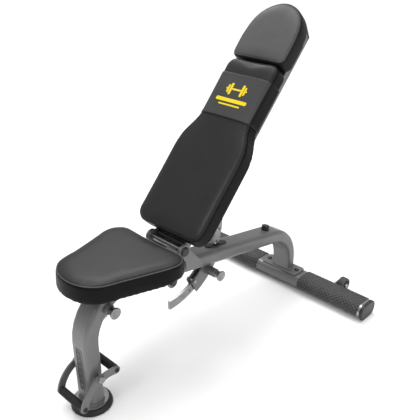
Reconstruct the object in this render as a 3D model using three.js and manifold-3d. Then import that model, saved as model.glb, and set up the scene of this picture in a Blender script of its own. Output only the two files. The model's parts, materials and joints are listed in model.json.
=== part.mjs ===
// Adjustable weight bench: a bent main tube on a round front foot and a rear stabiliser,
// with a back rest and a seat that each tilt on an axle and lock on a drilled arc plate.
// Millimetres, +Z up, +Y to the rear. The origin is on the floor under the front leg.

import * as THREE from 'three';
import { mergeVertices } from 'three/addons/utils/BufferGeometryUtils.js';
import Module from 'manifold-3d';

const wasm = await Module();
wasm.setup();

// ---------------------------------------------------------------- clearances
const TOUCH = 0.3; // between faces that meet
const PLAY = 2; // each side of an arc plate in its slot and guide
const SIDE_PLAY = 0.7; // between plates that turn past each other

// ---------------------------------------------------------------- main tube
const TUBE_WIDTH = 78;
const TUBE_DEPTH = 50;
const TUBE_CORNER = 16;
const TUBE_WALL = 3;
const BEAM_TOP_CORNER_Z = 392; // where the leg's and the beam's centrelines would cross
const BEAM_FALL = THREE.MathUtils.degToRad(10.65); // the beam slopes down to the rear
const FRONT_BEND = 140;
const REAR_BEND = 135;
const POST_Y = 930; // rear post, from the front leg
const TUBE_FACETS = 3; // half the facets in each corner of the tube's section

// ---------------------------------------------------------------- front foot and handle frame
const FOOT_RADIUS = 62;
const FOOT_HEIGHT = 16;
const FOOT_PLATE_RADIUS = 51;
const FOOT_PLATE = 6;
const HANDLE_PLATE_X = 55; // inner face
const HANDLE_PLATE = 6;
const HANDLE_RING_OUTER = 105;
const HANDLE_RING_INNER = 81;
const HANDLE_RING_Y = 28;
const HANDLE_RING_Z = 36;
const HANDLE_LOW = THREE.MathUtils.degToRad(168);
const HANDLE_HIGH = THREE.MathUtils.degToRad(73);
const GRIP_RADIUS = 12.5;
const HANDLE_BOLT_RADIUS = 7;
const HANDLE_BOLT_HEAD = 12;

// ---------------------------------------------------------------- rear stabiliser and wheels
const STABILISER_HALF = 370;
const STABILISER_DEPTH = 88;
const STABILISER_HEIGHT = 50;
const STABILISER_LIFT = 6; // above the floor
const STABILISER_WALL = 3;
const END_CAP = 12;
const END_CAP_LIP = 2;
const TREAD_FROM = 101;
const TREAD_MARGIN = 9; // bare strip between the tread and the end cap
const TREAD_THICKNESS = 3;
const TREAD_SKIRT = 14; // the tread's lower edges, above the stabiliser's underside
const BASE_PLATE_HALF = 83;
const BASE_PLATE_DEPTH = 60;
const BASE_PLATE = 6;
const BASE_BOLT_X = 65.5;
const BASE_BOLT_RADIUS = 9;
const WHEEL_RADIUS = 29;
const WHEEL_WIDTH = 26;
const WHEEL_X = 215; // inner face
const WHEEL_FLOOR_GAP = 3;
const WHEEL_AXLE_RADIUS = 5;
const WHEEL_TAB = 5;

// ---------------------------------------------------------------- back rest
const BACK_PIVOT_Y = 323;
const BACK_PIVOT_RISE = 79.74; // above the beam's centreline
const BACK_ANGLE = THREE.MathUtils.degToRad(47.3); // as it stands
const BACK_AXLE_RADIUS = 9;
const BACK_TOP = 44; // pad face above the pivot, square to the pad
const BACK_PAD_START = 30; // lower edge, from the pivot along the pad
const BACK_PAD_HALF = 134;
const BACK_PAD_NECK_HALF = 97;
const BACK_PAD_TAPER_START = 318;
const BACK_PAD_TAPER_END = 416;
const BACK_PAD_END = 619;
const BACK_PAD_LOW_ROUND = 38;
const BACK_PAD_HIGH_ROUND = 28;
const PAD_BEND = 30; // length over which the pad's sides change direction
const HEAD_PAD_START = 629;
const HEAD_PAD_HALF = 101;
const HEAD_PAD_STRAIGHT = 95;
const HEAD_PAD_LENGTH = 202;
const HEAD_PAD_ROUND = 16;
const FOAM = 44;
const BOARD = 10;
const BOARD_INSET = 9;
const PAD_EDGE = 8; // rounding of a cushion's upper edge
const RAIL_INNER_X = 43;
const RAIL_WIDTH = 20;
const RAIL_DEPTH = 50;
const RAIL_WALL = 2;
const RAIL_START = 114;
const RAIL_END = 800;
const RAIL_END_SLANT = 20;
const RAIL_PLUG = 8;
const PAD_PLATE = 5;
const PAD_PLATE_HALF = 85;
const PAD_PLATE_LENGTH = 46;
const LOW_PAD_PLATE = 150;
const HIGH_PAD_PLATE = 624;
const ARM = 4;
const ARM_BOSS = 20;
const CROSS_TUBE_RADIUS = 11;
const CROSS_TUBE_ALONG = 18;
const CROSS_TUBE_BELOW = 14;
const STOP_BAR_ALONG = 475;
const STOP_BAR_WIDTH = 30;
const STOP_BAR_BELOW = 65;
const ARC_BAR_ALONG = 226;
const ARC_BAR_WIDTH = 22;
const ARC_BAR_DEPTH = 42;

// ---------------------------------------------------------------- back arc, its guide and pin
const BACK_ARC_RADIUS = 228;
const BACK_ARC_WIDTH = 30;
const BACK_ARC_HALF = 5;
const BACK_ARC_TAIL = THREE.MathUtils.degToRad(-138);
const BACK_ARC_HEAD = THREE.MathUtils.degToRad(-10);
const BACK_PIN_DROP = 50.3; // below the beam's centreline, square to it
const BACK_HOLE_STEP = THREE.MathUtils.degToRad(11.8);
const BACK_HOLES_BELOW = 2; // for steeper positions
const BACK_HOLES_ABOVE = 4; // for flatter positions
const GUIDE_PLATE = 6;
const GUIDE_INSIDE = 13; // each guide plate's width within the arc's inner edge
const GUIDE_OUTSIDE = 8;
const GUIDE_TO = THREE.MathUtils.degToRad(-64);
const GUIDE_BOLT_ANGLE = -1.065;
const GUIDE_BOLT_RADIUS = 4;
const PIN_RADIUS = 6;
const PIN_HOUSING = 15;
const KNOB_RADIUS = 18;
const KNOB_THICKNESS = 12;
const BACK_KNOB_X = 66;
const BEZEL_WIDTH = 24;
const BEZEL_LENGTH = 96;
const BEZEL_PROUD = 4;
const BEZEL_BLANK = 20; // its thickness before the tube is cut from it
const BEZEL_REACH = 0.92; // of the arc's radius, from the pivot to the bezel's middle
const BUMPER_RADIUS = 14;
const BUMPER_HEIGHT = 17;

// ---------------------------------------------------------------- fixed hinge bracket
const HINGE_PLATE = 7;
const HINGE_BOSS = 22;
const HINGE_FOOT_FRONT = 328;
const HINGE_FOOT_REAR = 392;
const AXLE_CAP_RADIUS = 15;
const AXLE_CAP = 7;

// ---------------------------------------------------------------- seat
const SEAT_PIVOT_Y = 273;
const SEAT_PIVOT_DROP = 13.66; // below the beam's centreline
const SEAT_ANGLE = THREE.MathUtils.degToRad(-2.4); // nose a little high
const SEAT_AXLE_RADIUS = 8;
const SEAT_SLEEVE_RADIUS = 14;
const SEAT_TOP = 117; // pad face above the seat pivot, square to the pad
const SEAT_FOAM = 41;
const SEAT_REAR = -13;
const SEAT_SHOULDER = -240;
const SEAT_NOSE = -323;
const SEAT_REAR_HALF = 154;
const SEAT_ROUND = 42; // rear corners
const SEAT_SHOULDER_HALF = 106;
const SEAT_PLATE_X = 70;
const SEAT_PLATE = 5;
const SEAT_PLATE_DROP = 24;
const SEAT_WEB = 5;
const SEAT_FRONT_WEB = -222;
const SEAT_WINDOW_FRONT = -172;
const SEAT_WINDOW_REAR = -60;
const SEAT_WEB_REAR = 8;
const SEAT_WINDOW_HALF = 45;
const SEAT_LUG = 19;
const SEAT_ARC_RADIUS = 212;
const SEAT_ARC_WIDTH = 26;
const SEAT_ARC_HALF = 4;
const SEAT_ARC_TAIL = THREE.MathUtils.degToRad(-18);
const SEAT_HOLE_STEP = THREE.MathUtils.degToRad(5);
const SEAT_HOLES = 3;
const SEAT_KNOB_X = 62;

// ---------------------------------------------------------------- what follows from these
const TUBE_HALF = TUBE_WIDTH / 2;
const FOOT_TOP = FOOT_HEIGHT + TOUCH + FOOT_PLATE;
const STABILISER_TOP = STABILISER_LIFT + STABILISER_HEIGHT;
const BASE_PLATE_TOP = STABILISER_TOP + TOUCH + BASE_PLATE;
const RAIL_OUTER_X = RAIL_INNER_X + RAIL_WIDTH;
const ARM_X = RAIL_OUTER_X + TOUCH;
const HINGE_X = ARM_X + ARM + SIDE_PLAY;
const BOARD_TOP = BACK_TOP - FOAM - TOUCH;
const PAD_PLATE_TOP = BOARD_TOP - BOARD - TOUCH;
const RAIL_TOP = PAD_PLATE_TOP - PAD_PLATE - TOUCH;
const SEAT_BOARD_TOP = SEAT_TOP - SEAT_FOAM - TOUCH;
const SEAT_WEB_TOP = SEAT_BOARD_TOP - BOARD - TOUCH;
const GUIDE_X = BACK_ARC_HALF + PLAY;
const WHEEL_Y = POST_Y + STABILISER_DEPTH / 2 + TREAD_THICKNESS + WHEEL_RADIUS + PLAY;
const WHEEL_Z = WHEEL_FLOOR_GAP + WHEEL_RADIUS;
const BEAM_SLOPE = Math.tan(BEAM_FALL);
const beamCentreZ = (y) => BEAM_TOP_CORNER_Z - BEAM_SLOPE * y;
const BACK_PIVOT_Z = beamCentreZ(BACK_PIVOT_Y) + BACK_PIVOT_RISE;
const BACK_PIN_REACH = BACK_PIVOT_RISE * Math.cos(BEAM_FALL) + BACK_PIN_DROP;
const BACK_PIN_ANGLE = -BEAM_FALL - Math.asin(BACK_PIN_REACH / BACK_ARC_RADIUS);
const guideOutside = BACK_ARC_RADIUS + BACK_ARC_WIDTH / 2 + GUIDE_OUTSIDE;
const guideCrossing = Math.asin((BACK_PIVOT_RISE * Math.cos(BEAM_FALL)) / guideOutside);
const GUIDE_FROM = -BEAM_FALL - guideCrossing; // where the plates end inside the beam
const BACK_PIN_Y = BACK_PIVOT_Y + BACK_ARC_RADIUS * Math.cos(BACK_PIN_ANGLE);
const BACK_PIN_Z = BACK_PIVOT_Z + BACK_ARC_RADIUS * Math.sin(BACK_PIN_ANGLE);
const SEAT_PIVOT_Z = beamCentreZ(SEAT_PIVOT_Y) - SEAT_PIVOT_DROP;
const SEAT_PIN_Y = SEAT_PIVOT_Y - SEAT_ARC_RADIUS;
const TREAD_TO = STABILISER_HALF - TREAD_MARGIN;
const handleMiddle = (HANDLE_RING_OUTER + HANDLE_RING_INNER) / 2;
const handleBoltZ = HANDLE_RING_Z + Math.sqrt(handleMiddle ** 2 - HANDLE_RING_Y ** 2); // on the leg's middle
const beamEdge = TUBE_DEPTH / 2 / Math.cos(BEAM_FALL);

// ---------------------------------------------------------------- finishes
const finish = (color, roughness, metalness) =>
  new THREE.MeshStandardMaterial({ color, roughness, metalness });
const frameGrey = () => finish(0x85888b, 0.45, 0.6);
const brightSteel = () => finish(0xb9bcbf, 0.25, 1);
const blackSteel = () => finish(0x232427, 0.5, 0.4);
const blackPlastic = () => finish(0x1d1e20, 0.6, 0);
const blackRubber = () => finish(0x1a1a1b, 0.85, 0);
const vinyl = () => finish(0x3c3d40, 0.5, 0);
const plywood = () => finish(0x6b5a45, 0.8, 0);

// ---------------------------------------------------------------- shape helpers
const SHAPE_TO_SIDE = new THREE.Matrix4().makeBasis(
  new THREE.Vector3(0, 1, 0),
  new THREE.Vector3(0, 0, 1),
  new THREE.Vector3(1, 0, 0),
);

function flipped(geometry) {
  const index = geometry.index ?? mergeVertices(geometry).index;
  for (let i = 0; i < index.count; i += 3) {
    const first = index.getX(i);
    index.setX(i, index.getX(i + 1));
    index.setX(i + 1, first);
  }
  return geometry;
}

// The same geometry with only its positions, its shared corners merged.
function bare(geometry) {
  const plain = new THREE.BufferGeometry();
  plain.setAttribute('position', geometry.getAttribute('position').clone());
  if (geometry.index) plain.setIndex(geometry.index.clone());
  const merged = mergeVertices(plain, 1e-4);
  const corners = merged.index.array;
  const kept = [];
  for (let i = 0; i < corners.length; i += 3) {
    const [a, b, c] = [corners[i], corners[i + 1], corners[i + 2]];
    if (a !== b && b !== c && c !== a) kept.push(a, b, c);
  }
  merged.setIndex(kept);
  return merged;
}

function solid(geometry) {
  const merged = bare(geometry);
  return new wasm.Manifold(new wasm.Mesh({
    numProp: 3,
    vertProperties: new Float32Array(merged.getAttribute('position').array),
    triVerts: new Uint32Array(merged.index.array),
  }));
}

function geometryOf(manifold) {
  const mesh = manifold.getMesh();
  const geometry = new THREE.BufferGeometry();
  geometry.setAttribute('position', new THREE.BufferAttribute(new Float32Array(mesh.vertProperties), 3));
  geometry.setIndex(new THREE.BufferAttribute(new Uint32Array(mesh.triVerts), 1));
  geometry.computeVertexNormals();
  return geometry;
}

function cut(geometry, ...tools) {
  return geometryOf(tools.reduce((rest, tool) => rest.subtract(solid(tool)), solid(geometry)));
}

function join(...geometries) {
  return geometryOf(geometries.map(solid).reduce((whole, next) => whole.add(next)));
}

function mirroredInX(geometry) {
  const copy = bare(geometry).scale(-1, 1, 1);
  flipped(copy);
  copy.computeVertexNormals();
  return copy;
}

function box(x0, x1, y0, y1, z0, z1) {
  const geometry = new THREE.BoxGeometry(x1 - x0, y1 - y0, z1 - z0);
  return geometry.translate((x0 + x1) / 2, (y0 + y1) / 2, (z0 + z1) / 2);
}

function rodX(radius, x0, x1, y, z, facets = 20) {
  const geometry = new THREE.CylinderGeometry(radius, radius, x1 - x0, facets);
  return geometry.rotateZ(-Math.PI / 2).translate((x0 + x1) / 2, y, z);
}

// A turned piece along X. Each corner is [x, radius], listed from low x to high x on the outside.
function turnedX(corners, y, z, facets = 24) {
  const profile = corners.map(([x, radius]) => new THREE.Vector2(radius, x));
  const geometry = new THREE.LatheGeometry(profile, facets);
  return geometry.rotateZ(-Math.PI / 2).translate(0, y, z);
}

// A side view, drawn in Y and Z, made solid from x0 to x1.
function sideways(shape, x0, x1, curveSegments = 3) {
  const geometry = new THREE.ExtrudeGeometry(shape, { depth: x1 - x0, bevelEnabled: false, curveSegments });
  return geometry.applyMatrix4(SHAPE_TO_SIDE).translate(x0, 0, 0);
}

function polygon(corners) {
  return new THREE.Shape(corners.map(([u, v]) => new THREE.Vector2(u, v)));
}

function roundedBox(width, height, radius, u = 0, v = 0) {
  const [w, h] = [width / 2 - radius, height / 2 - radius];
  const shape = new THREE.Shape();
  shape.absarc(u + w, v + h, radius, 0, Math.PI / 2);
  shape.absarc(u - w, v + h, radius, Math.PI / 2, Math.PI);
  shape.absarc(u - w, v - h, radius, Math.PI, 1.5 * Math.PI);
  shape.absarc(u + w, v - h, radius, 1.5 * Math.PI, 2 * Math.PI);
  shape.closePath();
  return shape;
}

// A round hole whose flats, not its corners, lie at the radius.
function disc(u, v, radius, facets = 16) {
  const reach = radius / Math.cos(Math.PI / facets);
  const corners = Array.from({ length: facets }, (_, i) => {
    const angle = (2 * Math.PI * i) / facets;
    return new THREE.Vector2(u + reach * Math.cos(angle), v + reach * Math.sin(angle));
  });
  return new THREE.Path().setFromPoints(corners);
}

// Part of a flat ring, from one angle to another.
function ringSector(u, v, inner, outer, from, to) {
  const shape = new THREE.Shape();
  shape.absarc(u, v, outer, from, to, false);
  shape.absarc(u, v, inner, to, from, true);
  shape.closePath();
  return shape;
}

// A ring sector with half-round ends.
function roundedRingSector(u, v, inner, outer, from, to) {
  const middle = (inner + outer) / 2;
  const half = (outer - inner) / 2;
  const shape = new THREE.Shape();
  shape.absarc(u, v, outer, from, to, false);
  shape.absarc(u + middle * Math.cos(to), v + middle * Math.sin(to), half, to, to + Math.PI, false);
  shape.absarc(u, v, inner, to, from, true);
  shape.absarc(u + middle * Math.cos(from), v + middle * Math.sin(from), half, from + Math.PI, from + 2 * Math.PI, false);
  shape.closePath();
  return shape;
}

// A centreline in the YZ plane: straight runs with round bends, known only at its stations.
class BentLine extends THREE.Curve {
  constructor(corners, radii, bendSteps) {
    super();
    this.stations = [];
    const last = corners.length - 1;
    const heading = (i) => corners[i + 1].clone().sub(corners[i]).normalize();
    this.stations.push({ point: corners[0], tangent: heading(0) });
    for (let i = 1; i < last; i += 1) {
      const [incoming, outgoing, radius] = [heading(i - 1), heading(i), radii[i - 1]];
      const turn = incoming.angleTo(outgoing);
      const start = corners[i].clone().addScaledVector(incoming, -radius * Math.tan(turn / 2));
      const inward = outgoing.clone().addScaledVector(incoming, -outgoing.dot(incoming)).normalize();
      const centre = start.clone().addScaledVector(inward, radius);
      for (let step = 0; step <= bendSteps; step += 1) {
        const angle = (turn * step) / bendSteps;
        const point = centre.clone()
          .addScaledVector(inward, -radius * Math.cos(angle))
          .addScaledVector(incoming, radius * Math.sin(angle));
        const tangent = incoming.clone().multiplyScalar(Math.cos(angle))
          .addScaledVector(inward, Math.sin(angle));
        this.stations.push({ point, tangent });
      }
    }
    this.stations.push({ point: corners[last], tangent: heading(last - 1) });
  }

  station(u) {
    return this.stations[Math.round(u * (this.stations.length - 1))];
  }

  getPointAt(u) {
    return this.station(u).point.clone();
  }

  getTangentAt(u) {
    return this.station(u).tangent.clone();
  }
}

function piece(parent, name, geometry, material) {
  const mesh = new THREE.Mesh(geometry, material);
  mesh.name = name;
  parent.add(mesh);
  return mesh;
}

function mirroredPair(parent, name, geometry, material) {
  piece(parent, `${name}_right`, geometry, material());
  piece(parent, `${name}_left`, mirroredInX(geometry), material());
}

// ---------------------------------------------------------------- main tube
const rearCornerZ = beamCentreZ(POST_Y);
const tubeLine = new BentLine([
  new THREE.Vector3(0, 0, FOOT_TOP + TOUCH),
  new THREE.Vector3(0, 0, BEAM_TOP_CORNER_Z),
  new THREE.Vector3(0, POST_Y, rearCornerZ),
  new THREE.Vector3(0, POST_Y, BASE_PLATE_TOP + TOUCH),
], [FRONT_BEND, REAR_BEND], 9);

// The tube's outer shape, grown by some amount all round.
function tubeSolid(grow, hollow) {
  const section = roundedBox(TUBE_DEPTH + 2 * grow, TUBE_WIDTH + 2 * grow, TUBE_CORNER + grow);
  if (hollow) {
    const wall = 2 * TUBE_WALL;
    section.holes.push(roundedBox(TUBE_DEPTH - wall, TUBE_WIDTH - wall, TUBE_CORNER - TUBE_WALL));
  }
  return new THREE.ExtrudeGeometry(section, {
    steps: tubeLine.stations.length - 1,
    extrudePath: tubeLine,
    curveSegments: TUBE_FACETS,
    bevelEnabled: false,
  });
}

// The space an arc plate needs as it turns through the tube.
function arcSlot(y, z, radius, width, half, from, to) {
  const [inner, outer] = [radius - width / 2 - PLAY, radius + width / 2 + PLAY];
  return sideways(ringSector(y, z, inner, outer, from, to), -half - PLAY, half + PLAY, 8);
}

const backSlot = () => arcSlot(
  BACK_PIVOT_Y, BACK_PIVOT_Z, BACK_ARC_RADIUS, BACK_ARC_WIDTH, BACK_ARC_HALF, -1.25, -0.05,
);
const seatSlot = () => arcSlot(
  SEAT_PIVOT_Y, SEAT_PIVOT_Z, SEAT_ARC_RADIUS, SEAT_ARC_WIDTH, SEAT_ARC_HALF, Math.PI - 0.5, Math.PI + 0.5,
);

function addMainTube(parent) {
  const seatAxleHole = rodX(SEAT_AXLE_RADIUS + TOUCH, -TUBE_WIDTH, TUBE_WIDTH, SEAT_PIVOT_Y, SEAT_PIVOT_Z, 16);
  const seatPinHole = rodX(PIN_RADIUS + TOUCH, 0, TUBE_WIDTH, SEAT_PIN_Y, SEAT_PIVOT_Z, 16);
  const handleBoltHole = rodX(
    HANDLE_BOLT_RADIUS + TOUCH, -TUBE_WIDTH, TUBE_WIDTH, 0, handleBoltZ, 16,
  );
  const tube = cut(tubeSolid(0, true), backSlot(), seatSlot(), seatAxleHole, seatPinHole, handleBoltHole);
  piece(parent, 'main_tube', tube, frameGrey());
}

function alongBeam(geometry, y, rise) {
  const normal = new THREE.Vector3(0, Math.sin(BEAM_FALL), Math.cos(BEAM_FALL));
  const place = new THREE.Vector3(0, y, beamCentreZ(y)).addScaledVector(normal, rise);
  return geometry.rotateX(-BEAM_FALL).translate(0, place.y, place.z);
}

function addSlotBezel(parent) {
  const slotY = BACK_PIVOT_Y + BACK_ARC_RADIUS * BEZEL_REACH;
  const shape = roundedBox(BEZEL_WIDTH, BEZEL_LENGTH, BEZEL_WIDTH / 2);
  const blank = new THREE.ExtrudeGeometry(shape, { depth: BEZEL_BLANK, bevelEnabled: false, curveSegments: 3 });
  const placed = alongBeam(blank, slotY, TUBE_DEPTH / 2 - BEZEL_BLANK + BEZEL_PROUD);
  piece(parent, 'slot_bezel', cut(placed, tubeSolid(TOUCH, false), backSlot()), blackRubber());
}

function addBumper(parent) {
  const rise = TUBE_DEPTH / 2 + BUMPER_HEIGHT / 2;
  const blank = new THREE.CylinderGeometry(BUMPER_RADIUS, BUMPER_RADIUS, BUMPER_HEIGHT + 10, 20);
  blank.rotateX(Math.PI / 2).translate(0, 0, -5);
  const placed = alongBeam(blank, BACK_PIVOT_Y + STOP_BAR_ALONG, rise);
  piece(parent, 'beam_bumper', cut(placed, tubeSolid(TOUCH, false)), blackRubber());
}

// ---------------------------------------------------------------- front foot and handle frame
function addFoot(parent) {
  const rubber = new THREE.LatheGeometry([
    new THREE.Vector2(0, 0),
    new THREE.Vector2(FOOT_RADIUS - 1.5, 0),
    new THREE.Vector2(FOOT_RADIUS, 2),
    new THREE.Vector2(FOOT_RADIUS - 3, FOOT_HEIGHT - 4),
    new THREE.Vector2(FOOT_RADIUS - 7, FOOT_HEIGHT),
    new THREE.Vector2(0, FOOT_HEIGHT),
  ], 36);
  piece(parent, 'foot_rubber', rubber.rotateX(Math.PI / 2), blackRubber());
  const plate = new THREE.CylinderGeometry(FOOT_PLATE_RADIUS, FOOT_PLATE_RADIUS, FOOT_PLATE, 36);
  plate.rotateX(Math.PI / 2).translate(0, 0, FOOT_TOP - FOOT_PLATE / 2);
  piece(parent, 'foot_plate', plate, brightSteel());
}

function addHandleFrame(parent) {
  const ring = roundedRingSector(
    HANDLE_RING_Y, HANDLE_RING_Z, HANDLE_RING_INNER, HANDLE_RING_OUTER, HANDLE_HIGH, HANDLE_LOW,
  );
  ring.holes.push(disc(0, handleBoltZ, HANDLE_BOLT_RADIUS + TOUCH));
  const plate = sideways(ring, HANDLE_PLATE_X, HANDLE_PLATE_X + HANDLE_PLATE, 6);
  mirroredPair(parent, 'handle_plate', plate, frameGrey);
  const gripEnd = HANDLE_PLATE_X - TOUCH;
  for (const [name, angle] of [['lower', HANDLE_LOW], ['upper', HANDLE_HIGH]]) {
    const y = HANDLE_RING_Y + handleMiddle * Math.cos(angle);
    const z = HANDLE_RING_Z + handleMiddle * Math.sin(angle);
    piece(parent, `handle_grip_${name}`, rodX(GRIP_RADIUS, -gripEnd, gripEnd, y, z, 24), blackRubber());
  }
  const face = HANDLE_PLATE_X + HANDLE_PLATE + TOUCH;
  const bolt = turnedX([
    [-face - 5, 0],
    [-face - 5, HANDLE_BOLT_HEAD - 2],
    [-face - 2, HANDLE_BOLT_HEAD],
    [-face, HANDLE_BOLT_HEAD],
    [-face, HANDLE_BOLT_RADIUS],
    [face, HANDLE_BOLT_RADIUS],
    [face, HANDLE_BOLT_HEAD],
    [face + 2, HANDLE_BOLT_HEAD],
    [face + 5, HANDLE_BOLT_HEAD - 2],
    [face + 5, 0],
  ], 0, handleBoltZ, 16);
  piece(parent, 'handle_bolt', bolt, blackSteel());
}

// ---------------------------------------------------------------- rear stabiliser and wheels
const stabiliserZ = STABILISER_LIFT + STABILISER_HEIGHT / 2;

function stabiliserSection(grow) {
  const radius = STABILISER_HEIGHT / 2 + grow - 0.5;
  return roundedBox(STABILISER_DEPTH + 2 * grow, STABILISER_HEIGHT + 2 * grow, radius, POST_Y, stabiliserZ);
}

function addStabiliser(parent) {
  const section = stabiliserSection(0);
  section.holes.push(stabiliserSection(-STABILISER_WALL));
  piece(parent, 'stabiliser_tube', sideways(section, -STABILISER_HALF, STABILISER_HALF), frameGrey());

  const treadOuter = sideways(stabiliserSection(TREAD_THICKNESS), TREAD_FROM, TREAD_TO);
  const treadInner = sideways(stabiliserSection(TOUCH), TREAD_FROM - 1, TREAD_TO + 1);
  const below = box(
    TREAD_FROM - 1, TREAD_TO + 1, POST_Y - STABILISER_DEPTH, POST_Y + STABILISER_DEPTH,
    -STABILISER_HEIGHT, STABILISER_LIFT + TREAD_SKIRT,
  );
  mirroredPair(parent, 'tread', cut(treadOuter, treadInner, below), blackRubber);

  const capHeight = STABILISER_TOP + END_CAP_LIP;
  const capShape = roundedBox(
    STABILISER_DEPTH + 2 * END_CAP_LIP, capHeight, STABILISER_HEIGHT / 2, POST_Y, capHeight / 2,
  );
  const capFrom = STABILISER_HALF + TOUCH;
  mirroredPair(parent, 'end_cap', sideways(capShape, capFrom, capFrom + END_CAP), blackPlastic);

  const plate = new THREE.ExtrudeGeometry(roundedBox(2 * BASE_PLATE_HALF, BASE_PLATE_DEPTH, 10), {
    depth: BASE_PLATE, bevelEnabled: false, curveSegments: 3,
  });
  plate.translate(0, POST_Y, STABILISER_TOP + TOUCH);
  piece(parent, 'base_plate', plate, frameGrey());

  const dome = new THREE.LatheGeometry([
    new THREE.Vector2(0, 0),
    new THREE.Vector2(BASE_BOLT_RADIUS, 0),
    new THREE.Vector2(BASE_BOLT_RADIUS * 0.9, 3),
    new THREE.Vector2(BASE_BOLT_RADIUS * 0.55, 5.5),
    new THREE.Vector2(0, 6.5),
  ], 16);
  dome.rotateX(Math.PI / 2).translate(BASE_BOLT_X, POST_Y, BASE_PLATE_TOP + TOUCH);
  mirroredPair(parent, 'base_bolt', dome, blackSteel);
}

function addWheels(parent) {
  const tabX = WHEEL_X - PLAY - WHEEL_TAB;
  const tabFront = POST_Y + STABILISER_DEPTH / 2 + TREAD_THICKNESS + TOUCH;
  const tabShape = new THREE.Shape();
  tabShape.moveTo(tabFront, WHEEL_Z - 15);
  tabShape.absarc(WHEEL_Y, WHEEL_Z, 15, -Math.PI / 2, Math.PI / 2, false);
  tabShape.lineTo(tabFront, WHEEL_Z + 15);
  tabShape.closePath();
  tabShape.holes.push(disc(WHEEL_Y, WHEEL_Z, WHEEL_AXLE_RADIUS + TOUCH));
  mirroredPair(parent, 'wheel_tab', sideways(tabShape, tabX, tabX + WHEEL_TAB), frameGrey);

  const outer = WHEEL_X + WHEEL_WIDTH + PLAY / 2;
  const axle = turnedX([
    [tabX - TOUCH - 5, 0],
    [tabX - TOUCH - 5, 8],
    [tabX - TOUCH, 8],
    [tabX - TOUCH, WHEEL_AXLE_RADIUS],
    [outer, WHEEL_AXLE_RADIUS],
    [outer, 8],
    [outer + 4, 7],
    [outer + 4, 0],
  ], WHEEL_Y, WHEEL_Z, 12);
  mirroredPair(parent, 'wheel_axle', axle, brightSteel);

  const bore = WHEEL_AXLE_RADIUS + TOUCH;
  const wheel = turnedX([
    [WHEEL_X, bore],
    [WHEEL_X, WHEEL_RADIUS - 4],
    [WHEEL_X + 4, WHEEL_RADIUS],
    [WHEEL_X + WHEEL_WIDTH - 4, WHEEL_RADIUS],
    [WHEEL_X + WHEEL_WIDTH, WHEEL_RADIUS - 4],
    [WHEEL_X + WHEEL_WIDTH, bore],
    [WHEEL_X, bore],
  ], WHEEL_Y, WHEEL_Z, 28);
  mirroredPair(parent, 'wheel', wheel, blackRubber);
}

// ---------------------------------------------------------------- fixed hinge bracket and axles
function addHingeBracket(parent) {
  const saddleTop = (y) => beamCentreZ(y) + beamEdge + HINGE_PLATE;
  const saddleFoot = 20;
  const shape = new THREE.Shape();
  shape.absarc(BACK_PIVOT_Y, BACK_PIVOT_Z, HINGE_BOSS, -0.15, Math.PI, false);
  shape.lineTo(HINGE_FOOT_FRONT, saddleTop(HINGE_FOOT_FRONT) + 10);
  shape.lineTo(HINGE_FOOT_FRONT, saddleTop(HINGE_FOOT_FRONT) - saddleFoot);
  shape.lineTo(HINGE_FOOT_REAR, saddleTop(HINGE_FOOT_REAR) - saddleFoot);
  shape.lineTo(HINGE_FOOT_REAR, saddleTop(HINGE_FOOT_REAR));
  shape.closePath();
  shape.holes.push(disc(BACK_PIVOT_Y, BACK_PIVOT_Z, BACK_AXLE_RADIUS + TOUCH));
  const side = sideways(shape, HINGE_X, HINGE_X + HINGE_PLATE);
  const saddle = sideways(polygon([
    [HINGE_FOOT_FRONT, saddleTop(HINGE_FOOT_FRONT) - HINGE_PLATE + TOUCH],
    [HINGE_FOOT_REAR, saddleTop(HINGE_FOOT_REAR) - HINGE_PLATE + TOUCH],
    [HINGE_FOOT_REAR, saddleTop(HINGE_FOOT_REAR)],
    [HINGE_FOOT_FRONT, saddleTop(HINGE_FOOT_FRONT)],
  ]), -HINGE_X - 1, HINGE_X + 1);
  piece(parent, 'hinge_bracket', join(side, mirroredInX(side), saddle), frameGrey());
}

function addAxles(parent) {
  const backEnd = HINGE_X + HINGE_PLATE;
  const backAxle = rodX(BACK_AXLE_RADIUS, -backEnd, backEnd, BACK_PIVOT_Y, BACK_PIVOT_Z, 24);
  piece(parent, 'back_axle', backAxle, brightSteel());
  const capFrom = backEnd + TOUCH;
  const backCap = turnedX([
    [capFrom, 0],
    [capFrom, AXLE_CAP_RADIUS],
    [capFrom + AXLE_CAP - 3, AXLE_CAP_RADIUS],
    [capFrom + AXLE_CAP, AXLE_CAP_RADIUS - 4],
    [capFrom + AXLE_CAP, 0],
  ], BACK_PIVOT_Y, BACK_PIVOT_Z);
  mirroredPair(parent, 'back_axle_cap', backCap, blackPlastic);

  const seatEnd = SEAT_PLATE_X + SEAT_PLATE;
  const sleeve = (from, to) => rodX(SEAT_SLEEVE_RADIUS, from, to, SEAT_PIVOT_Y, SEAT_PIVOT_Z, 20);
  const [sleeveFrom, sleeveTo] = [TUBE_HALF + TOUCH, SEAT_PLATE_X - SIDE_PLAY];
  const seatAxle = join(
    rodX(SEAT_AXLE_RADIUS, -seatEnd, seatEnd, SEAT_PIVOT_Y, SEAT_PIVOT_Z, 20),
    sleeve(sleeveFrom, sleeveTo),
    sleeve(-sleeveTo, -sleeveFrom),
  );
  piece(parent, 'seat_axle', seatAxle, brightSteel());
  const seatCapFrom = seatEnd + TOUCH;
  const seatCap = turnedX([
    [seatCapFrom, 0],
    [seatCapFrom, 11],
    [seatCapFrom + 4, 11],
    [seatCapFrom + 6, 8],
    [seatCapFrom + 6, 0],
  ], SEAT_PIVOT_Y, SEAT_PIVOT_Z, 20);
  mirroredPair(parent, 'seat_axle_cap', seatCap, blackPlastic);
}

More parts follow.
